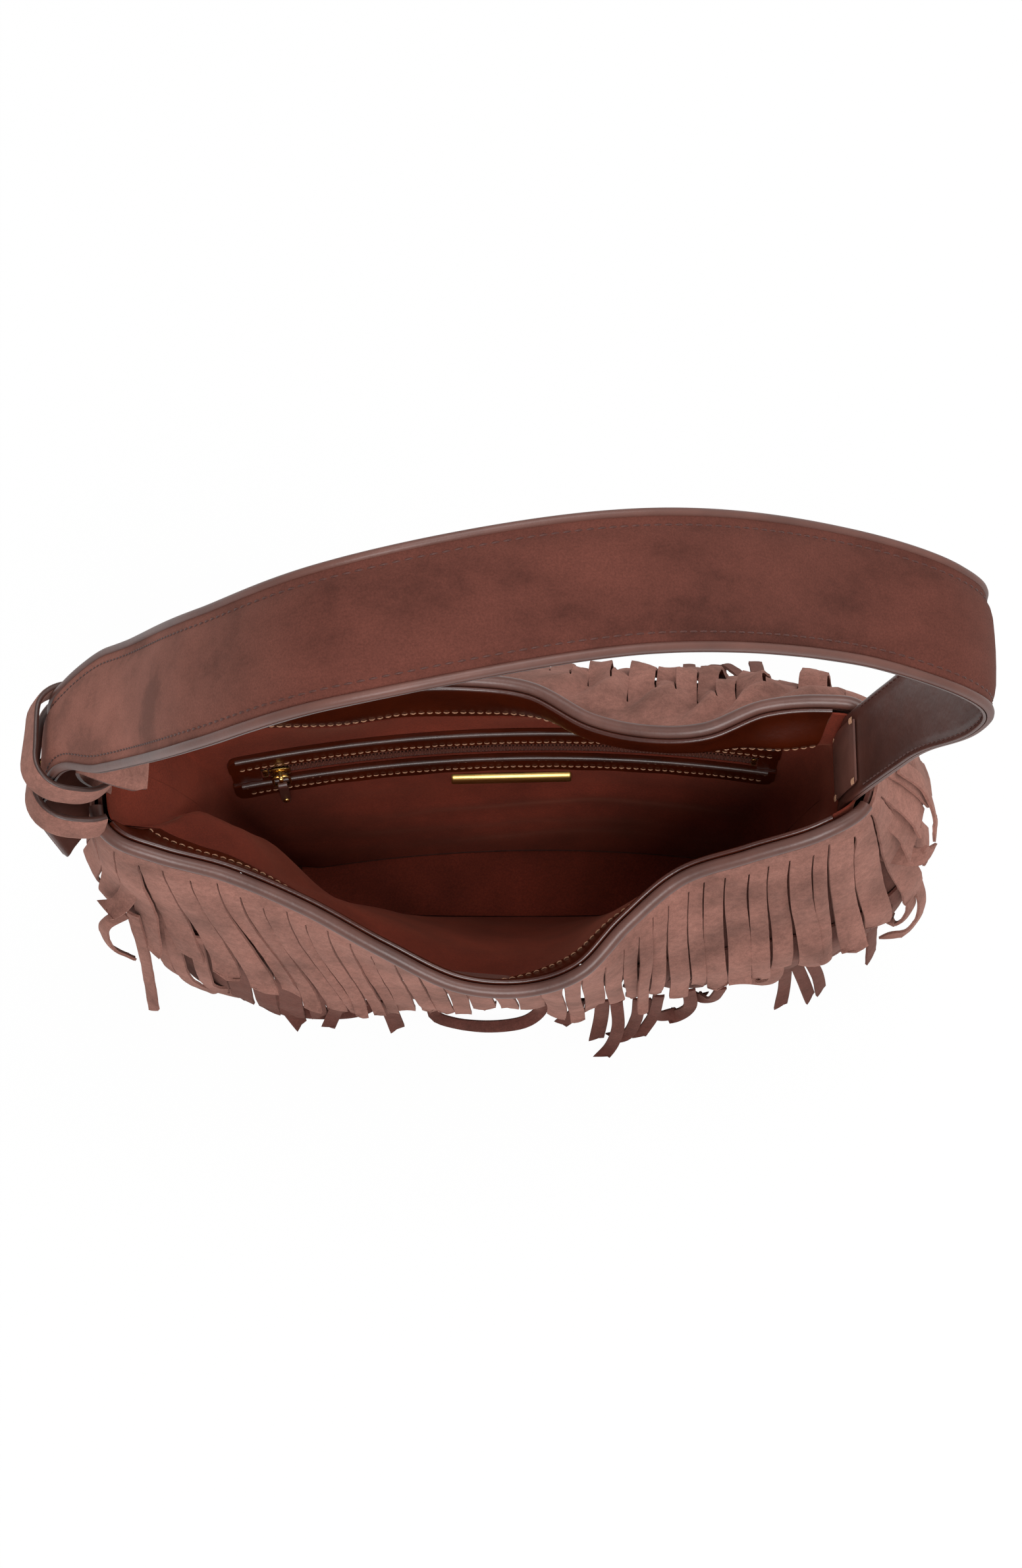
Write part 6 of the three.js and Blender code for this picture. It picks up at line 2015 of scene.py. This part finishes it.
# Single strands that curl away from their tier, in mm: width, how far the strand faces up at its start
# and at its end, points
STRAYS = {
    "front_upper": (
        (8.4, 0.4, 0.9, [(-152, -31, 163), (-152.6, -37.5, 137), (-155.3, -41, 118), (-162.3, -45, 108),
            (-170, -45, 103)]),
        (5.4, 0.2, 0.3, [(-159, -45, 100), (-167.8, -47, 90), (-172, -48, 72), (-170.9, -50.4, 52),
            (-162.9, -51.8, 34)]),
        (5.8, 0.4, 0.7, [(-155.3, -46, 104), (-155.6, -54.5, 70), (-157.5, -60, 40), (-159.5, -70, 4)]),
        (6.6, 0.4, 0.4, [(-147, -36, 132), (-146.7, -46, 98), (-148, -53, 62), (-149, -55, 30),
            (-144.3, -55, 8)]),
        (6.6, 0.4, 0.5, [(-140.3, -47, 104), (-141.9, -56, 70), (-140.5, -61, 36), (-131, -62, 8)]),
        (6.6, 0.4, 0.5, [(-130.4, -54, 98), (-131.2, -62, 60), (-130.5, -63, 30), (-119, -63, 10)]),
        (6, 0.3, 0.2, [(106, -52, 96), (112.6, -60, 70), (112, -64, 52), (106.5, -63.5, 45),
            (103.6, -60, 52)]),
        (6.2, 0.3, 0.5, [(156.9, -20.4, 112), (170.5, -27.7, 82), (176, -33.9, 60), (173.7, -39, 40),
            (164.2, -42, 30)]),
        (5.8, 0.3, 0.3, [(153.1, -20, 118), (165.6, -30.5, 86), (170, -36.1, 66), (165.8, -39.3, 54),
            (158.4, -33, 57)]),
        (7, 0.4, 0.5, [(143.2, -19.9, 128), (152, -27.8, 92), (154.5, -34.8, 64), (152.7, -44, 34)]),
        (8, 0.6, 0.3, [(135, -18.4, 138), (146, -23.5, 127), (158.5, -25.5, 120), (168.2, -24.5, 117),
            (172.8, -17.8, 117)]),
        (10, 0.6, 0.5, [(140, 2, 168), (151, 1, 157), (161, -1, 143), (169, -3, 128)]),
        (11, 0.6, 0.5, [(141, -6, 169), (150, -8, 155), (160, -11, 140), (167, -15, 126)]),
        (10, 0.6, 0.5, [(138, -13, 166), (149, -16, 149), (158, -19, 134), (164, -24, 120)]),
        (6.8, 0.3, 0.2, [(152, 1.3, 160), (164.5, -1.4, 141), (171.3, -9.1, 126), (173.5, -16.8, 116)]),
    ),
    "front_lower": (
        (6, 0.3, 0.6, [(-106, -63, 44), (-105.5, -66.5, 14), (-96, -69.5, 5), (-81, -70.5, 3.5),
            (-67, -69, 5), (-57, -65, 14)]),
        (6.6, 0.3, 0.8, [(-101, -66, 40), (-98.5, -71, 18), (-93, -77, 4)]),
        (6, 0.3, 0.8, [(-74, -70, 36), (-78.6, -73, 14), (-82, -77.5, 3)]),
        (7, 0.3, 0.8, [(-55, -71, 40), (-52.6, -74, 20), (-50.5, -78.5, 5)]),
        (5.6, 0.3, 0.75, [(-30, -68.5, 34), (-34.5, -68.5, 12), (-33.6, -72, 4.5), (-22.4, -75.5, 4),
            (-6.2, -76.5, 4), (7.1, -74.5, 6), (13.5, -70.5, 14), (11.3, -68.5, 28)]),
        (5.4, 0.3, 0.8, [(29.8, -70, 40), (28, -73, 18), (21.8, -76, 5)]),
        (6.4, 0.3, 0.8, [(39.6, -71.3, 45), (39.6, -76, 20), (38, -83, 4)]),
        (5.6, 0.4, 0.8, [(45.5, -72, 45), (47, -80.4, 22), (43.8, -87, 6), (38.8, -92, 3)]),
        (5.4, 0.4, 0.6, [(55.5, -70.4, 42), (55.1, -76, 18), (51.2, -80.5, 5), (43, -82, 3)]),
        (5, 0.4, 0.6, [(64.1, -69, 42), (62.5, -74.5, 16), (56.6, -82, 3)]),
        (6, 0.4, 0.8, [(77, -66.5, 42), (78.7, -70.5, 20), (73.3, -72.5, 8), (67.1, -73, 4)]),
        (5.4, 0.2, 0.7, [(58.4, -69, 32), (65.6, -73, 14), (75.8, -71, 8)]),
        (5, 0.2, 0.7, [(92, -64, 32), (89.4, -65, 12), (84.6, -63, 5), (86.5, -60.5, 8)]),
        (5.6, 0.3, 0.8, [(118.9, -57, 45), (120.8, -62, 20), (120.6, -68, 4)]),
        (5.6, 0.3, 0.8, [(122.1, -55, 50), (128.7, -59, 24), (134.3, -64.5, 4)]),
        (5.6, 0.3, 0.8, [(127.8, -53.5, 50), (135.1, -57, 24), (139, -61, 4)]),
        (6.6, 0.4, 0.7, [(154.5, -36, 64), (158.7, -41, 30), (161.6, -46, 4)]),
    ),
    "back_lower": (
        (5.6, 0.5, 0.3, [(78.3, 63, 70), (80, 77, 44), (81.5, 86.5, 22)]),
        (5.6, 0.6, 0.3, [(81.5, 66, 64), (88.5, 79, 38), (96, 88.5, 14)]),
        (5.6, 0.5, 0.3, [(95, 65.5, 64), (94.6, 79, 34), (96.5, 87, 20)]),
        (5.6, 0.5, 0.3, [(104.4, 65, 64), (101.4, 79, 36), (98, 87.5, 20)]),
        (6.4, 0.4, 0.3, [(108.9, 60.9, 70), (110.5, 76, 44), (112.3, 90, 16)]),
        (7, 0.6, 0.8, [(-20.5, 62.6, 70), (-6, 72, 50), (8.2, 79, 30)]),
        (7, 0.6, 0.8, [(4.5, 62, 74), (14, 70, 52), (24, 78, 34)]),
    ),
}


def stray(width, points, face_start, face_end):
    """One strand along its own line, with a slanted tip."""
    line = Line([[v * MM for v in point] for point in points])
    rows, across = 40, 4
    outer, inner = np.zeros((2, across + 1, rows + 1, 3))
    for k in range(rows + 1):
        t = k / rows
        middle, run = line.at(t), line.tangent(t)
        _, out = OUTLINE.push(middle, 0.0)
        up = face_start + (face_end - face_start) * t
        n = out * (1 - up) + np.array([0, 0, up])
        n = n - run * float(n @ run)
        n /= max(np.linalg.norm(n), 1e-6)
        side = np.cross(n, run)
        for c in range(across + 1):
            edge = 2 * c / across - 1
            tip = smooth(rows - 4, rows, k) * width * MM * (0.5 + 0.5 * edge)
            place = middle + side * edge * width / 2 * MM - run * tip + n * 0.3 * MM * (1 - edge ** 2)
            place = place + n * 0.3 * MM * rumple(place, 0.008, 92)
            place[2] = max(place[2], STRAND_FLOOR)
            inner[c, k] = place
            outer[c, k] = place + n * FRINGE_THICKNESS
            outer[c, k, 2] = max(outer[c, k, 2], 0.8 * MM)
    return outer, inner


class BAG_OT_fringe(bpy.types.Operator):
    """Four tiers of suede fringe: upper and lower, front and back"""
    bl_idname = "bag.fringe"
    bl_label = "Fringe"

    def execute(self, context):
        sizes = context.scene.bag_sizes
        for side, side_name in SIDES.items():
            for upper, level in ((True, "upper"), (False, "lower")):
                tier = Tier(f"{side_name}_{level}", side, upper, sizes)
                # The lower tiers take the darker copy of the suede and its edge: painted shade.
                finishes = ("suede", "cut_edge") if upper else ("suede_deep", "painted_shade_edge")
                shell = fringe(tier)
                for width, face_start, face_end, points in STRAYS.get(tier.name, ()):
                    shell.sheet(*stray(width, points, face_start, face_end), edge_pick=1)
                settle(
                    shell, f"{tier.name}_fringe", finishes, "suede" if upper else "suede_dark",
                    f"fringe_{side_name}_{level}", sharp=50)
        return {"FINISHED"}


# Stage


CAMERA_TARGET = Vector((0, -9 * MM, 170 * MM))
CAMERA_DISTANCE = 950 * MM
CAMERA_ELEVATION = math.radians(75)
CAMERA_LENS = 56.04


def area_light(name, place, target, size, energy):
    light = bpy.data.lights.new(name, "AREA")
    light.shape = "DISK"
    light.size = size
    light.energy = energy
    lamp = bpy.data.objects.new(name, light)
    lamp.location = place
    lamp.rotation_euler = (Vector(target) - Vector(place)).to_track_quat("-Z", "Y").to_euler()
    bpy.context.scene.collection.objects.link(lamp)


def stage_floor():
    """A wide pale floor that looks white to the camera and still takes the bag's shadow."""
    mesh = bpy.data.meshes.new("floor")
    half = 3.0
    corners = [(-half, -half, 0), (half, -half, 0), (half, half, 0), (-half, half, 0)]
    mesh.from_pydata(corners, [], [(0, 1, 2, 3)])
    floor = bpy.data.objects.new("floor", mesh)
    bpy.context.scene.collection.objects.link(floor)
    material = bpy.data.materials.new("Pale floor")
    material.use_nodes = True
    tree = material.node_tree
    tree.nodes.clear()
    output = tree.nodes.new("ShaderNodeOutputMaterial")
    shadowed = tree.nodes.new("ShaderNodeBsdfDiffuse")
    shadowed.inputs["Color"].default_value = (0.86, 0.86, 0.86, 1)
    white = tree.nodes.new("ShaderNodeEmission")
    white.inputs["Color"].default_value = (1, 1, 1, 1)
    white.inputs["Strength"].default_value = 1.0
    seen = tree.nodes.new("ShaderNodeLightPath")
    either = tree.nodes.new("ShaderNodeMath")
    either.operation = "MAXIMUM"
    tree.links.new(seen.outputs["Is Camera Ray"], either.inputs[0])
    tree.links.new(seen.outputs["Is Glossy Ray"], either.inputs[1])
    share = tree.nodes.new("ShaderNodeMath")
    share.operation = "MULTIPLY"
    share.inputs[1].default_value = 0.97
    tree.links.new(either.outputs[0], share.inputs[0])
    mixed = tree.nodes.new("ShaderNodeMixShader")
    tree.links.new(share.outputs[0], mixed.inputs["Fac"])
    tree.links.new(shadowed.outputs[0], mixed.inputs[1])
    tree.links.new(white.outputs[0], mixed.inputs[2])
    tree.links.new(mixed.outputs[0], output.inputs["Surface"])
    mesh.materials.append(material)


def world_light():
    world = bpy.data.worlds.new("Studio")
    world.use_nodes = True
    tree = world.node_tree
    tree.nodes.clear()
    output = tree.nodes.new("ShaderNodeOutputWorld")
    soft = tree.nodes.new("ShaderNodeBackground")
    soft.inputs["Color"].default_value = (1, 0.985, 0.97, 1)
    soft.inputs["Strength"].default_value = 0.55
    white = tree.nodes.new("ShaderNodeBackground")
    white.inputs["Color"].default_value = (1, 1, 1, 1)
    white.inputs["Strength"].default_value = 1.0
    seen = tree.nodes.new("ShaderNodeLightPath")
    mixed = tree.nodes.new("ShaderNodeMixShader")
    tree.links.new(seen.outputs["Is Camera Ray"], mixed.inputs["Fac"])
    tree.links.new(soft.outputs[0], mixed.inputs[1])
    tree.links.new(white.outputs[0], mixed.inputs[2])
    tree.links.new(mixed.outputs[0], output.inputs["Surface"])
    bpy.context.scene.world = world


class BAG_OT_stage(bpy.types.Operator):
    """Floor, soft lights and the camera"""
    bl_idname = "bag.stage"
    bl_label = "Stage"

    def execute(self, context):
        stage_floor()
        world_light()
        area_light("Key", (0.35, 0.5, 1.4), (0, 0, 0.12), 1.0, 10)
        area_light("Fill", (0.05, -0.8, 1.3), (0, 0, 0.1), 0.7, 12)
        camera_data = bpy.data.cameras.new("Camera")
        camera_data.sensor_fit = "VERTICAL"
        camera_data.sensor_height = 36
        camera_data.lens = CAMERA_LENS
        camera = bpy.data.objects.new("Camera", camera_data)
        direction = Vector((0, -math.cos(CAMERA_ELEVATION), math.sin(CAMERA_ELEVATION)))
        camera.location = CAMERA_TARGET + direction * CAMERA_DISTANCE
        camera.rotation_euler = (-direction).to_track_quat("-Z", "Y").to_euler()
        context.scene.collection.objects.link(camera)
        context.scene.camera = camera
        context.scene.view_settings.view_transform = "Standard"
        return {"FINISHED"}


STEPS = (
    BAG_OT_stage, BAG_OT_body, BAG_OT_mouth, BAG_OT_lining, BAG_OT_zip_pocket, BAG_OT_zip_pull,
    BAG_OT_metal_bar, BAG_OT_strap, BAG_OT_knot, BAG_OT_fringe)


class BAG_PT_panel(bpy.types.Panel):
    """Sizes, colours and the pieces of the bag"""
    bl_idname = "BAG_PT_panel"
    bl_label = "Fringed suede bag"
    bl_space_type = "VIEW_3D"
    bl_region_type = "UI"
    bl_category = "Bag"

    def draw(self, context):
        layout = self.layout
        for group in (context.scene.bag_sizes, context.scene.bag_colours):
            box = layout.box()
            for name in group.bl_rna.properties.keys():
                if name not in ("rna_type", "name"):
                    box.prop(group, name)
        for step in STEPS:
            layout.operator(step.bl_idname)


CLASSES = (BagSizes, BagColours, *STEPS, BAG_PT_panel)


def register():
    for item in CLASSES:
        bpy.utils.register_class(item)
    bpy.types.Scene.bag_sizes = bpy.props.PointerProperty(type=BagSizes)
    bpy.types.Scene.bag_colours = bpy.props.PointerProperty(type=BagColours)


def unregister():
    del bpy.types.Scene.bag_colours
    del bpy.types.Scene.bag_sizes
    for item in reversed(CLASSES):
        bpy.utils.unregister_class(item)


def main():
    register()
    bpy.ops.bag.stage()
    bpy.ops.bag.body()
    bpy.ops.bag.mouth()
    bpy.ops.bag.lining()
    bpy.ops.bag.zip_pocket()
    bpy.ops.bag.zip_pull()
    bpy.ops.bag.metal_bar()
    bpy.ops.bag.strap()
    bpy.ops.bag.knot()
    bpy.ops.bag.fringe()


if __name__ == "__main__":
    main()
